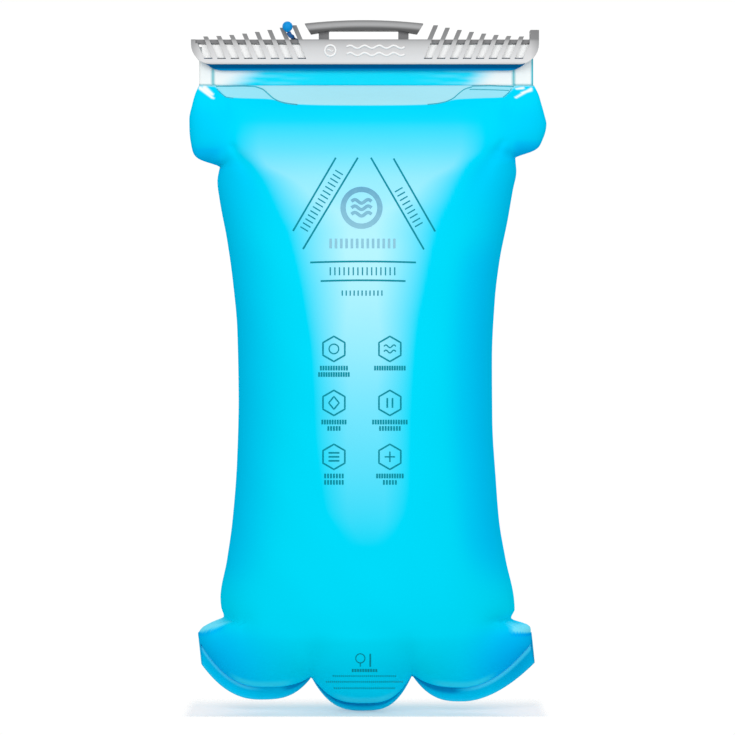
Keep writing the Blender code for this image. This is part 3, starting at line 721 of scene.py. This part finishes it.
def toned(tree, value, stops):
    """A ramp over a value in metres. Each stop is (millimetres, grey or colour)."""
    low, high = stops[0][0], stops[-1][0]
    ramp = add_node(tree, "ValToRGB", Fac=ranged(tree, value, low * MM, high * MM))
    while len(ramp.color_ramp.elements) < len(stops):
        ramp.color_ramp.elements.new(0.5)
    for element, (place, grey) in zip(ramp.color_ramp.elements, stops):
        element.position = (place - low) / (high - low)
        colour = grey if isinstance(grey, tuple) else (grey, grey, grey * 1.01)
        element.color = (*colour, 1.0)
    return ramp.outputs["Color"]


def height_shaded(name, stops, roughness, patch, curve=0.0, recess=None, speckle=700.0, specular=0.25):
    """Moulded plastic whose tone changes with height as painted light and shade, with painted shade inside
    its recess and towards its ends.
    """
    made, tree, shader = new_material(name)
    axes = object_axes(tree)
    height = axes["Z"]
    if curve:
        lift = maths(tree, "MULTIPLY", maths(tree, "MULTIPLY", axes["X"], axes["X"]), curve)
        height = maths(tree, "ADD", height, lift)
    base = toned(tree, height, stops)
    if recess:
        # Painted shade inside the recess along the top
        depth, start, dark = recess
        near = maths(tree, "LESS_THAN", maths(tree, "ABSOLUTE", axes["Y"]), depth * MM)
        above = maths(tree, "GREATER_THAN", axes["Z"], start * MM)
        base = mixed(tree, maths(tree, "MULTIPLY", near, above), base, dark)
        # Painted shade towards both rounded ends
        ends = ranged(tree, maths(tree, "ABSOLUTE", axes["X"]), 82 * MM, 87 * MM, 0.0, 0.6)
        base = mixed(tree, ends, base, dark)
    base = mixed(tree, ranged(tree, noise(tree, 30.0), 0.35, 0.7, 0.0, 0.10), base, patch)
    grained(tree, shader, base, roughness, speckle, 0.15, specular)
    return made


# Painted light and shade of the closure's parts, by height: height, and a grey or a colour
# Slider: a painted highlight near its foot, darkening upwards to painted shade along its top
SLIDER_TONES = (
    (-16.8, 0.55), (-15.6, 0.76), (-13, 0.72), (-9, 0.64), (-7, 0.55), (-5.4, 0.46), (-4.3, 0.26),
    (1, 0.22),
)
# Grip: dark grey, with painted shade at its foot and a painted highlight band below its top edge
GRIP_TONES = (
    (-1, 0.10), (0.8, 0.085), (1.4, 0.11), (2, 0.25), (2.7, 0.40), (3.4, 0.40), (4.2, 0.32),
    (4.6, 0.22), (5.2, 0.22),
)
# Rail: a painted shadow under the slider, lighter towards its foot
RAIL_TONES = (
    (-20, (0, 0.36, 0.70)), (-19.4, (0, 0.27, 0.57)), (-18.9, (0, 0.17, 0.43)),
    (-18.2, (0, 0.10, 0.29)), (-17.2, (0, 0.15, 0.38)), (-14, (0, 0.20, 0.46)),
)

BLUE_FILM = film_material("blue_film", SHADE_BLUE)
STRIP_FILM = film_material("strip_film", STRIP_SHADE_BLUE)
CLEAR_FILM = clear_film_material()
SLIDER_RECESS_SHADE = (4.95, -6.6, (0.21, 0.21, 0.215))  # half depth, height where it starts, painted shade tone
GRIP_CURVE = 1.96  # how much the grip, and so its painted highlight and shade bands, drops with the square of x
GREY_PATCH = (0.3, 0.3, 0.31)
LIGHT_GREY = height_shaded("slider_plastic", SLIDER_TONES, 0.40, GREY_PATCH, recess=SLIDER_RECESS_SHADE)
DARK_GREY = height_shaded("grip_rubber", GRIP_TONES, 0.46, GREY_PATCH, curve=GRIP_CURVE, speckle=900.0)
RAIL_BLUE = height_shaded("rail_plastic", RAIL_TONES, 0.34, (0.0, 0.18, 0.5), specular=0.0)
TETHER_BLUE = moulded("tether_plastic", (0.0, 0.30, 0.75), 0.30, (0.0, 0.42, 0.85), specular=0.15)
CORD_BLUE = moulded("tether_cord_blue", (0.0, 0.10, 0.34), 0.42, (0.02, 0.2, 0.45))
PORT_GREY = moulded("port_plastic", (0.20, 0.21, 0.225), 0.42, (0.33, 0.34, 0.35))
EMBLEM_GREY = moulded("emblem_plastic", (0.93, 0.93, 0.93), 0.35, (0.97, 0.97, 0.97))
FOLD_FILM = moulded("fold_film", (0.95, 0.97, 0.97), 0.35, (0.98, 0.98, 0.98), speckle=120.0)
SEAL = moulded("seal_rubber", (0.025, 0.025, 0.027), 0.6, (0.06, 0.06, 0.06))
INK = patchy("print_ink", 300.0, (PRINT_TEAL, (0.0, 0.34, 0.42)), 0.5, (0.4, 0.55), Specular_IOR_Level=0.05)
EMBLEM_INK = emblem_material()
WELD = patchy("weld_line", 120.0, ((0.03, 0.50, 0.62), (0.02, 0.38, 0.50)), 1.0, (0.2, 0.35))
STEEL = patchy("spring_wire", 500.0, ((0.60, 0.60, 0.62), (0.42, 0.42, 0.44)), 1.0, (0.2, 0.4), Metallic=1.0)


# The bag ------------


def set_tint(made, red, green, blue, alpha):
    """Stores the film's tint at each vertex."""
    tint = made.data.color_attributes.new("tint", "FLOAT_COLOR", "POINT")
    values = np.stack([np.broadcast_to(v, red.shape).ravel() for v in (red, green, blue, alpha)], axis=1)
    tint.data.foreach_set("color", np.clip(values, 0, 1).astype(np.float32).ravel())


# The painted glow down the middle of the film, standing in for light through the filled film: height, left
# edge, right edge, how far in it is at its brightest, how bright
GLOW = (
    (-37, -66, 61, 16, 0), (-44, -64, 59.5, 14, 0.01), (-48, -64, 59.5, 12, 0.07),
    (-53, -65, 60, 12, 0.15), (-59, -64, 58.5, 11, 0.26), (-66.5, -57, 51.5, 8, 0.45),
    (-74, -51.5, 47, 16, 0.62), (-84, -46.5, 42.5, 22, 0.72),
    (-92, -43, 38.5, 31, 0.88), (-99, -39.5, 36, 31, 0.90),
    (-109, -36.5, 33.5, 27, 0.91), (-129, -32, 29.5, 24, 0.82),
    (-144, -29.5, 26.5, 20, 0.71), (-157, -27.5, 25, 17, 0.61),
    (-184, -25.8, 23.2, 18, 0.39), (-199, -25.2, 22.6, 16, 0.30),
    (-226, -22.2, 22.2, 13, 0.17), (-239, -20, 20.5, 11, 0.11),
    (-249, -14, 16, 8, 0.055), (-258, -8, 9, 8, 0),
)
# The water's surface, seen through the film: x and height
WATER_LINE = (
    (-90, -27.4), (-75.5, -27.6), (-73, -29.5), (-69.5, -32.6), (-64, -33.2), (-48, -33.8),
    (-40.5, -35.4), (-35, -36.3), (-18, -36.8), (0, -36.9), (18, -36.8), (32, -36.4),
    (39, -35.2), (44.5, -34), (58, -33.3), (68, -32.9), (72, -30), (75.5, -27.6),
    (92, -27.4),
)
# Painted highlights on the creases in the film at both ends of the neck: start, end and half width
CREASE_HIGHLIGHTS = (
    ((-82.3, -28.4), (-76, -33.5), 0.75),
    ((-80.2, -28.5), (-76.4, -31.6), 1.25),
    ((82.6, -28.8), (74.8, -33.3), 0.42),
    ((82.4, -29.4), (77.8, -31), 0.55),
    ((78.6, -28.4), (75.2, -28.8), 0.35),
)
# The folded top of each outer lobe, with a painted highlight on the fold and a painted crease shadow just
# below it: start and end
LOBE_TOPS = (((-70.8, -293.6), (-82.5, -297.9)), ((72.5, -297.0), (83.0, -298.2)))


def glow_at(x, z):
    left, right, far_in, bright = (profile(GLOW, k, z) for k in (1, 2, 3, 4))
    inside = 1.0
    for reach in ((x - left) / far_in, (right - x) / far_in):
        inside = inside * np.clip(reach, 0, 1)
    return inside * bright


def film_tint(x, z):
    """The painted glow, headspace paleness, painted shade and painted highlights of the film at each point.
    """
    seen_x, seen_z = seen_from_front(x, z, FRONT)
    glow = glow_at(seen_x, seen_z)
    line = pchip([p[0] for p in WATER_LINE], [p[1] for p in WATER_LINE], seen_x)
    above = ease(-0.25, 0.25, seen_z - line)
    middle = ease(52.5, 51.5, np.abs(x + 1.0) - 1.25 * (z + 28.0))
    pale = above * (0.80 + 0.20 * middle)
    left, right = (side_x(side, np.maximum(z, SIDE_END)) for side in (LEFT_SIDE, RIGHT_SIDE))
    inset, out = np.minimum(x - left, right - x), np.abs(x)
    # Painted shade: darker towards the sides, under both ears, towards the top, outside the glow's funnel,
    # and over the lobes and between the darts
    waist = ease(-60, -100, z) * ease(-288, -262, z)
    shade_share = 0.26 * ease(24, 0, inset) * (0.15 + 0.85 * waist)
    waist = ease(-95, -120, z) * ease(-278, -250, z)
    shade_share += 0.20 * ease(28, 14, right - x) * (0.5 + 0.5 * ease(0, 8, right - x)) * waist
    shade_share += 0.05 * ease(30, 16, x - left) * waist
    shade_share += 0.16 * ease(-57.6, -60, z) * ease(-71, -74.5, x) * ease(-70, -67, z)
    shade_share += 0.20 * ease(-53.6, -56.4, z) * ease(72, 76, x) * ease(-66, -63, z)
    shade_share += 0.12 * ease(62, 72, out) * ease(-34, -44, z) * ease(-70, -58, z)
    shade_share += 0.07 * ease(-120, -60, z)
    outside = np.maximum(profile(GLOW, 1, seen_z) - seen_x, seen_x - profile(GLOW, 2, seen_z))
    shade_share += 0.16 * ease(0, 9, outside) * ease(-54, -60, z) * ease(-104, -70, z)
    shade_share += 0.26 * ease(-290, -316, z) * ease(22, 60, np.abs(x - 1.0))
    shade_share += 0.30 * ease(-292, -302, z) * ease(44, 76, out)
    shade_share += 0.12 * ease(-290, -302, z) * ease(44, 70, x)
    shade_share += 0.13 * ease(-300, -322, z) * ease(34, 16, np.abs(x + 1.0))
    # Painted highlights on the creases at both ends of the neck
    white = np.zeros_like(x)
    for start, end, width in CREASE_HIGHLIGHTS:
        away, along = near_line(x, z, start, end)
        taper = width * (1.15 - 0.7 * np.clip(along, 0, 1))
        white = np.maximum(white, ease(taper + 0.6, taper * 0.35, away))
    # Painted highlight on each outer lobe's folded top, and a painted crease shadow just below it
    for start, end in LOBE_TOPS:
        away, along = near_line(x, z, start, end)
        inside = ease(-0.1, 0.15, along)
        fold_highlight = ease(2.2, 1.7, away) * inside
        glow = np.maximum(glow, 0.34 * fold_highlight)
        shade_share = shade_share * (1 - fold_highlight) + 0.45 * inside * np.exp(-(((away - 3.1) / 0.55) ** 2))
    # Painted highlight just above the seam of each lobe: less painted shade and a little more glow
    for place, *_ in LOBES:
        rise = z - seam_height(x)
        lit = ease(0.4, 1.4, rise) * ease(5.2, 2.6, rise)
        lit = lit * ease(18, 9, np.abs(x - place))
        glow, shade_share = glow + 0.06 * lit, shade_share * (1 - 0.85 * lit)
    return glow, pale, shade_share * (1 - pale), white


def make_bag():
    points, faces = [], []
    for depth, side in ((FRONT, -1), (BACK, 1)):
        face = np.stack([GRID_X, side * depth, GRID_Z], axis=-1).reshape(-1, 3) * MM
        faces += [tuple(i + len(points) for i in f) for f in grid_faces(ROWS, COLUMNS, flip=side > 0)]
        points += [tuple(p) for p in face]
    size = ROWS * COLUMNS
    index = np.arange(size).reshape(ROWS, COLUMNS)
    sides = (index[0], index[1:, -1], index[-1, -2::-1], index[-2:0:-1, 0])
    rim = np.concatenate(sides).tolist()
    for a, b in zip(rim, rim[1:] + rim[:1]):
        faces.append((a, b, b + size, a + size))
    made = add_mesh("film_bag", points, faces, BLUE_FILM)
    glow, pale, shade_share, white = film_tint(GRID_X, GRID_Z)
    both = [np.concatenate([v.ravel(), v.ravel()]) for v in (glow, pale, shade_share, white)]
    set_tint(made, *both)
    built = bmesh.new()
    built.from_mesh(made.data)
    middles = [(face, face.calc_center_median()) for face in built.faces]
    hole = [f for f, m in middles if m.y > 0.02 and math.hypot(m.x, m.z - PORT_Z * MM) < PORT_HOLE * MM]
    bmesh.ops.delete(built, geom=hole, context="FACES")
    bmesh.ops.recalc_face_normals(built, faces=built.faces)
    built.to_mesh(made.data)
    built.free()
    made.data.shade_smooth()
    settle(made, BAG, "blue_film", "front_film_panel", "back_film_panel")


def make_weld_strip():
    """The flat film outside the bottom seam. It waves a little and follows all three lobes."""
    shares = np.linspace(0, 1, 181)
    inner = np.stack(bottom_line(1, SEAM_CORNERS, shares), 1)
    outer = np.stack(bottom_line(2, EDGE_CORNERS, shares), 1)
    down = np.linspace(-300.5, SIDE_END, 8)[:-1]
    for side, corner in zip((LEFT_SIDE, RIGHT_SIDE), EDGE_CORNERS):
        near = np.stack([side_x(side, down), down], 1)
        share = ((down - down[0]) / (corner[1] - down[0]))[:, None]
        far = near[0] + (np.array(corner) - near[0]) * share
        if side is RIGHT_SIDE:
            inner, outer = np.concatenate([inner, near[::-1]]), np.concatenate([outer, far[::-1]])
        else:
            inner, outer = np.concatenate([near, inner]), np.concatenate([far, outer])
    across = 13
    points = []
    for k in range(across):
        share = k / (across - 1)
        line = inner * (1 - share) + outer * share
        lift = 0.7 * share * np.sin(line[:, 0] / 9.0) - 1.0 * share**2
        points += [(x * MM, y * MM, z * MM) for (x, z), y in zip(line, lift)]
    made = add_mesh("weld_strip_fine", points, grid_faces(across, len(inner)), STRIP_FILM)
    x = np.array([p[0] for p in points]) / MM
    share = np.repeat(np.linspace(0, 1, across), len(inner))
    # Darker blue over the whole strip, painted shadow crescents where it tucks under the lobes, darker
    # towards the right corner, a painted highlight along the outer lobes' seams and a little glow at its
    # outer edge
    shaded = np.maximum(ease(21, 15, np.abs(x)), ease(-44, -36, x) * (x < -27))
    shaded = np.maximum(shaded, ease(50, 42, x) * (x > 24))
    shade_share = 0.42 + 0.75 * shaded * ease(0.62, 0.25, share) + 0.30 * ease(60, 78, x)
    sides = np.maximum(ease(-50, -62, x), ease(44, 58, x))
    lit = sides * ease(0.36, 0.18, share)
    glow, shade_share = 0.14 * lit + 0.05 * ease(0.75, 1, share), shade_share * (1 - 0.8 * lit)
    set_tint(made, glow, np.zeros_like(x), shade_share, np.zeros_like(x))
    thicken(made, 0.7 * MM)
    settle(made, BAG, "blue_film", "bottom_weld_strip")


NECK_ENDS, NECK_HEIGHTS = (-83.0, 83.6), (-8.0, -27.2)


def neck_tint(x, z):
    """Clear at both ends, blue with what is behind it in the middle, and darker at the end welds."""
    left = ease(-69, -47, x - 1.2 * (z + 21.0))
    right = ease(66, 48, x - 0.8 * (z + 23.0))
    streak = 0.10 * np.sin(x / 7.0 + 2.0 * z) * ease(20, 50, np.abs(x))
    blue = np.clip(left * right * (1.0 + streak), 0, 1)
    welds = np.maximum(ease(0.9, 0.4, np.abs(x + 75.6)), ease(0.9, 0.4, np.abs(x - 73.8)))
    foot = ease(-26, -26.8, z) * ease(72, 76, np.abs(x))
    edge = ease(82.2, 82.9, x)
    blue = np.maximum(blue, edge)
    return blue, np.maximum(welds, foot * 0.9), edge, np.zeros_like(x)


def make_neck():
    """A film sheet in front of the rails and one behind them."""
    columns, rows = 121, 17
    x, z = np.meshgrid(np.linspace(*NECK_ENDS, columns), np.linspace(*NECK_HEIGHTS, rows))
    away = 0.42 + 0.3 * ease(-20, -27, z) + 0.12 * np.sin(x / 11.0) * ease(-20, -24, z)
    for name, side, node in (
        ("neck_film_front", -1, "neck_front_film"),
        ("neck_film_back", 1, "neck_back_film"),
    ):
        points = np.stack([x, side * away, z], -1).reshape(-1, 3) * MM
        made = add_mesh(name, points, grid_faces(rows, columns), CLEAR_FILM)
        set_tint(made, *neck_tint(x, z))
        thicken(made, 0.35 * MM)
        settle(made, BAG, "clear_film", node)


make_bag()
make_weld_strip()
make_neck()


# Lines and prints that lie on the film ------------


def ribbon(points, width, closed=False):
    """The two sides of a flat line of that width, in x and z."""
    points = np.array(points, float)
    if closed:
        ahead, behind = np.roll(points, -1, 0), np.roll(points, 1, 0)
    else:
        ahead = np.concatenate([points[1:], 2 * points[-1:] - points[-2:-1]])
        behind = np.concatenate([2 * points[:1] - points[1:2], points[:-1]])
    run = ahead - behind
    run /= np.maximum(np.linalg.norm(run, axis=1), 1e-9)[:, None]
    normal = np.stack([-run[:, 1], run[:, 0]], 1)
    return points + normal * width / 2, points - normal * width / 2


def dense(points, step=0.8, closed=False):
    """The points with more between them."""
    points = [np.array(p, float) for p in points]
    pairs = list(zip(points, points[1:] + (points[:1] if closed else [])))
    found = []
    for a, b in pairs[: len(points) if closed else len(points) - 1]:
        count = max(int(np.linalg.norm(b - a) / step), 1)
        found += [a + (b - a) * i / count for i in range(count)]
    return found if closed else found + [points[-1]]


def curve(points, each=5):
    """A smooth line through flat points."""
    return [(p.x, p.y) for p in through([Vector(p) for p in points], each)]


class Print:
    """Flat shapes that lie on the front of the film, gathered into one piece."""

    def __init__(self, height):
        self.points, self.faces, self.height = [], [], height

    def _on_film(self, flat):
        xs, zs = on_film(flat[:, 0], flat[:, 1])
        ys = front_y(xs, zs) - self.height
        return [(x * MM, y * MM, z * MM) for x, y, z in zip(xs, ys, zs)]

    def line(self, points, width, closed=False):
        left, right = ribbon(dense(points, closed=closed), width, closed)
        first, count = len(self.points), len(left)
        self.points += self._on_film(left) + self._on_film(right)
        for i in range(count if closed else count - 1):
            j = (i + 1) % count
            self.faces.append((first + i, first + count + i, first + count + j, first + j))

    def strokes(self, start, end, count, height, width):
        """A row of plain upright strokes, where the object carries a word."""
        start, end = np.array(start, float), np.array(end, float)
        run = (end - start) / np.linalg.norm(end - start)
        up = np.array([-run[1], run[0]]) * height / 2
        for t in np.linspace(0, 1, count):
            middle = start + (end - start) * t
            self.line([middle - up, middle + up], width)

    def make(self, name, material, slot, thickness=0.0):
        made = add_mesh(name, self.points, self.faces, material)
        if thickness:
            thicken(made, thickness * MM)
        return settle(made, BAG, slot)


def circle(x, z, radius, start=0.0, end=360.0, steps=24):
    angles = np.radians(np.linspace(start, end, steps + 1))
    return [(x + radius * math.cos(a), z + radius * math.sin(a)) for a in angles]


def wave_line(x, z, half, height, turns=1.5, steps=18):
    return [
        (x - half + 2 * half * i / steps, z + height * math.sin(2 * math.pi * turns * i / steps))
        for i in range(steps + 1)
    ]


ICON_COLUMNS, ICON_ROWS = (-15.8, 12.2), (-158.5, -185.5, -212.5)
# half widths of the rows of strokes under each pictogram
ROW_HALVES = (((6.5, 7.4), (7.4,)), ((5.8, 2.8), (8.4, 4.9)), ((4.4, 4.4), (6.4, 3)))


# Plain signs: a ring, waves, a diamond, bars, dashes and a cross. Each line: points, width, closed
SIGNS = (
    [(circle(0, 0, 2.4)[:-1], 0.6, True)],
    [(wave_line(0, lift, 3, 0.7), 0.6, False) for lift in (1.3, -1.3)],
    [([(-2.6, 0), (0, -3.2), (2.6, 0), (0, 3.2)], 0.7, True)],
    [([(x, -2.4), (x, 2.4)], 0.8, False) for x in (-1.3, 1.3)],
    [([(-2.7, z), (2.7, z)], 0.8, False) for z in (-2, 0, 2)],
    [([(-2.6, 0), (2.6, 0)], 0.65, False), ([(0, -2.6), (0, 2.6)], 0.65, False)],
)


def icon(ink, kind, x, z):
    """A sign in a hexagon."""
    ink.line(circle(x, z, 6.3, 30, 390, 6)[:-1], 0.78, closed=True)
    for points, width, closed in SIGNS[kind]:
        ink.line([(x + a, z + b) for a, b in points], width, closed)


def make_prints():
    ink = Print(0.09)
    for start, end in (
        ((-14.8, -63), (-36.2, -99.6)),
        ((-3.8, -63), (-31.2, -108.6)),
        ((2.7, -63), (29.2, -108.8)),
        ((14, -63.4), (34.8, -99.8)),
    ):
        ink.line([start, end], 0.85)
    ink.strokes((-30.6, -98.6), (-13.2, -70.4), 15, 4.4, 0.6)
    ink.strokes((16.6, -79), (26.6, -96.4), 9, 4.4, 0.6)
    for half, z, arch in ((26.4, -115.3, 0.5), (21.2, -124.6, 0.4)):
        arched = [(half * t - 1.2, z + arch * (1 - t * t)) for t in np.linspace(-1, 1, 15)]
        ink.line(arched, 0.85)
    ink.strokes((-17.6, -119.7), (14.6, -119.7), 15, 4, 0.6)
    ink.strokes((-11.6, -130.6), (8.2, -130.6), 11, 2.6, 0.6)
    for column, x in enumerate(ICON_COLUMNS):
        for row, z in enumerate(ICON_ROWS):
            icon(ink, row * 2 + column, x, z)
            for drop, half in zip((9.6, 12.8), ROW_HALVES[row][column]):
                ink.strokes((x - half, z - drop), (x + half, z - drop), round(half * 1.7), 2.3, 0.88)
    ink.line(circle(-2.6, -313.6, 2.3)[:-1], 0.5, closed=True)
    ink.line([(-2.6, -316), (-2.6, -317.8)], 0.5)
    ink.line([(2.4, -311.3), (2.4, -317.8)], 0.8)
    ink.strokes((-6.4, -319.7), (5.4, -319.7), 10, 1.5, 0.9)
    for half, z in ((15.6, -322.5), (19, -325.4), (15, -328.6)):
        ink.strokes((-half - 0.6, z), (half - 0.6, z), int(half * 2), 0.8, 0.5)
    ink.make("film_print", INK, "blue_film")
    emblem = Print(0.1)
    emblem.line(circle(-2, -88, 9.2, steps=40)[:-1], 2.6, closed=True)
    for lift in (3.2, 0, -3.2):
        emblem.line(wave_line(-2, -88 + lift, 5, 0.9), 1.6)
    emblem.strokes((-17.4, -105.8), (14.4, -105.8), 13, 4.8, 1.2)
    emblem.make("film_emblem", EMBLEM_INK, "blue_film")


def make_weld_lines():
    welds = Print(0.12)
    left = [(-55, -27.6), (-51.2, -29), (-48.6, -31.2), (-46, -33.4)]
    left += [(-43, -35), (-39, -36), (-34, -36.6)]
    right = [(53, -27.8), (49.5, -28.9), (46.6, -31), (43.8, -33.4)]
    right += [(40, -35.1), (36, -36), (31, -36.5)]
    welds.line([(-74.6, -27.4), (-60, -27.3)] + curve(left), 0.5)
    welds.line(curve(right), 0.4)
    welds.line([(53, -27.3), (62, -27.1), (74, -27.6)], 0.5)
    welds.line([(52, -29), (60, -29.1), (71.5, -29.5)], 0.35)
    welds.line([(-74.2, -28.8), (-72.5, -30.6), (-69.6, -32.9), (-66, -33.4)], 0.3)
    welds.line([(72.8, -28.6), (71.2, -30.9), (68.6, -33)], 0.3)
    welds.make("neck_welds", WELD, "blue_film", 0.15)


make_prints()
make_weld_lines()


# Closure ------------


def settle_refined(rows):
    """Settles a refined copy of each node. The rows give node, material, edge width, body and slot."""
    for node, material, width, body, slot in rows:
        settle(refined(node, material, width * MM), body, slot, node)


CLOSURE = (
    ("slider_channel", LIGHT_GREY, 0.28, SLIDER, "slider_plastic"),
    ("handle_grip", DARK_GREY, 0.35, SLIDER, "grip_rubber"),
    ("front_rail", RAIL_BLUE, 0.25, BAG, "rail_plastic"),
    ("back_rail", RAIL_BLUE, 0.25, BAG, "rail_plastic"),
    ("tether_anchor", RAIL_BLUE, 0.2, BAG, "rail_plastic"),
    ("folded_mouth", FOLD_FILM, 0.3, BAG, "clear_film"),
)


def make_ball():
    """The ball, flattened towards the cord that it ends."""
    low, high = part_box("tether_ball")
    centre = (Vector(low) + Vector(high)) / 2
    radius = (high[0] - low[0]) / 2
    built = bmesh.new()
    bmesh.ops.create_uvsphere(built, u_segments=40, v_segments=24, radius=radius)
    for vert in built.verts:
        if vert.co.z < -0.72 * radius:
            vert.co.x *= 0.9
            vert.co.y *= 0.9
            vert.co.z = -0.72 * radius - 1.4 * (-0.72 * radius - vert.co.z)
        vert.co += centre
    settle(from_bmesh(built, "ball_fine", TETHER_BLUE), SLIDER, "tether_plastic", "tether_ball")


# The cord's route from the ball, round behind the slider, to the anchor
TETHER_POINTS = (
    (-38.1, -8.1, -1.3), (-37.4, -7.2, -2.6), (-36.5, -5, -3.1), (-36.4, 0, -3.1), (-36.3, 5, -3.1),
    (-35.2, 7.4, -3.9), (-30.6, 8, -6), (-22, 8.1, -8.2), (-14, 8.2, -9.8), (0, 8.2, -11.4),
    (20, 8.2, -12.9), (40, 8.2, -13.4), (56, 8.2, -13.2), (68, 8.2, -13.4), (75, 8.2, -13.9),
    (79.2, 8.2, -15.1),
)


def tether_route():
    return [Vector(place) * MM for place in TETHER_POINTS]


TETHER_LINE = through(tether_route(), 5)
CORD_RADIUS = 1.1


def swept(name, line, radius, material, sides=14):
    """A round tube along a line, with closed ends."""
    points, faces = [], []
    up = Vector((0.0, 0.0, 1.0))
    for i, place in enumerate(line):
        run = (line[min(i + 1, len(line) - 1)] - line[max(i - 1, 0)]).normalized()
        side = run.cross(up).normalized()
        over = side.cross(run).normalized()
        for k in range(sides):
            a = 2 * math.pi * k / sides
            points.append(place + radius * (math.cos(a) * side + math.sin(a) * over))
    for i in range(len(line) - 1):
        for k in range(sides):
            a, b = i * sides + k, i * sides + (k + 1) % sides
            faces.append((a, b, b + sides, a + sides))
    faces.append(tuple(reversed(range(sides))))
    faces.append(tuple(range((len(line) - 1) * sides, len(line) * sides)))
    return add_mesh(name, points, faces, material)


def make_tether():
    made = swept("tether_cord_fine", TETHER_LINE, CORD_RADIUS * MM, CORD_BLUE)
    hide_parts("tether_cord")
    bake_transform(made)


def make_plate_emblem():
    """A plain ring and wave lines, raised on the front of the slider."""
    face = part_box("slider_channel")[0][1]
    raised = Print(0.0)
    raised.line(circle(-17.5, -10.0, 2.7, steps=28)[:-1], 0.9, closed=True)
    raised.line(wave_line(-17.5, -10.0, 1.5, 0.4, 1.0, 10), 0.6)
    for lift in (1.8, -1.8):
        raised.line(wave_line(5.0, -10.0 + lift, 14.5, 0.7, 4.0, 80), 0.9)
    points = [(x, face - 0.1 * MM, z) for x, _, z in raised.points]
    made = add_mesh("plate_emblem", points, raised.faces, EMBLEM_GREY)
    thicken(made, 0.45 * MM)
    settle(made, SLIDER, "slider_plastic")


settle_refined(CLOSURE)
make_plate_emblem()
make_ball()
make_tether()


# Drink-tube port ------------


PORT = (
    ("port_flange", PORT_GREY, 0.25, BAG, "port_plastic"),
    ("port_housing", PORT_GREY, 0.25, BAG, "port_plastic"),
    ("spring_cage", PORT_GREY, 0.25, BAG, "port_plastic"),
    ("latch_plate", PORT_GREY, 0.15, LATCH, "port_plastic"),
    ("release_button", TETHER_BLUE, 0.2, LATCH, "button_plastic"),
    ("valve_poppet", PORT_GREY, 0.15, VALVE, "port_plastic"),
)
# Each spring: node, joint, an axis and the joint's travel
SPRINGS = (
    ("latch_spring", "latch_press", [0.0, 0.0, 1.0], 2.0),
    ("valve_spring", "valve_open", [0.0, 1.0, 0.0], 3.0),
)


def make_seals():
    for node in ("port_o_ring", "poppet_seal"):
        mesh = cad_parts[node].data
        mesh.materials.clear()
        mesh.materials.append(SEAL)
        mesh.shade_smooth()
        mesh.set_sharp_from_angle(angle=math.radians(50))


def make_springs():
    for node, joint, axis, travel in SPRINGS:
        spring = settle(refined(node, STEEL, 0.0), BAG, "spring_steel", node)
        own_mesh(spring)


settle_refined(PORT)
make_seals()
make_springs()
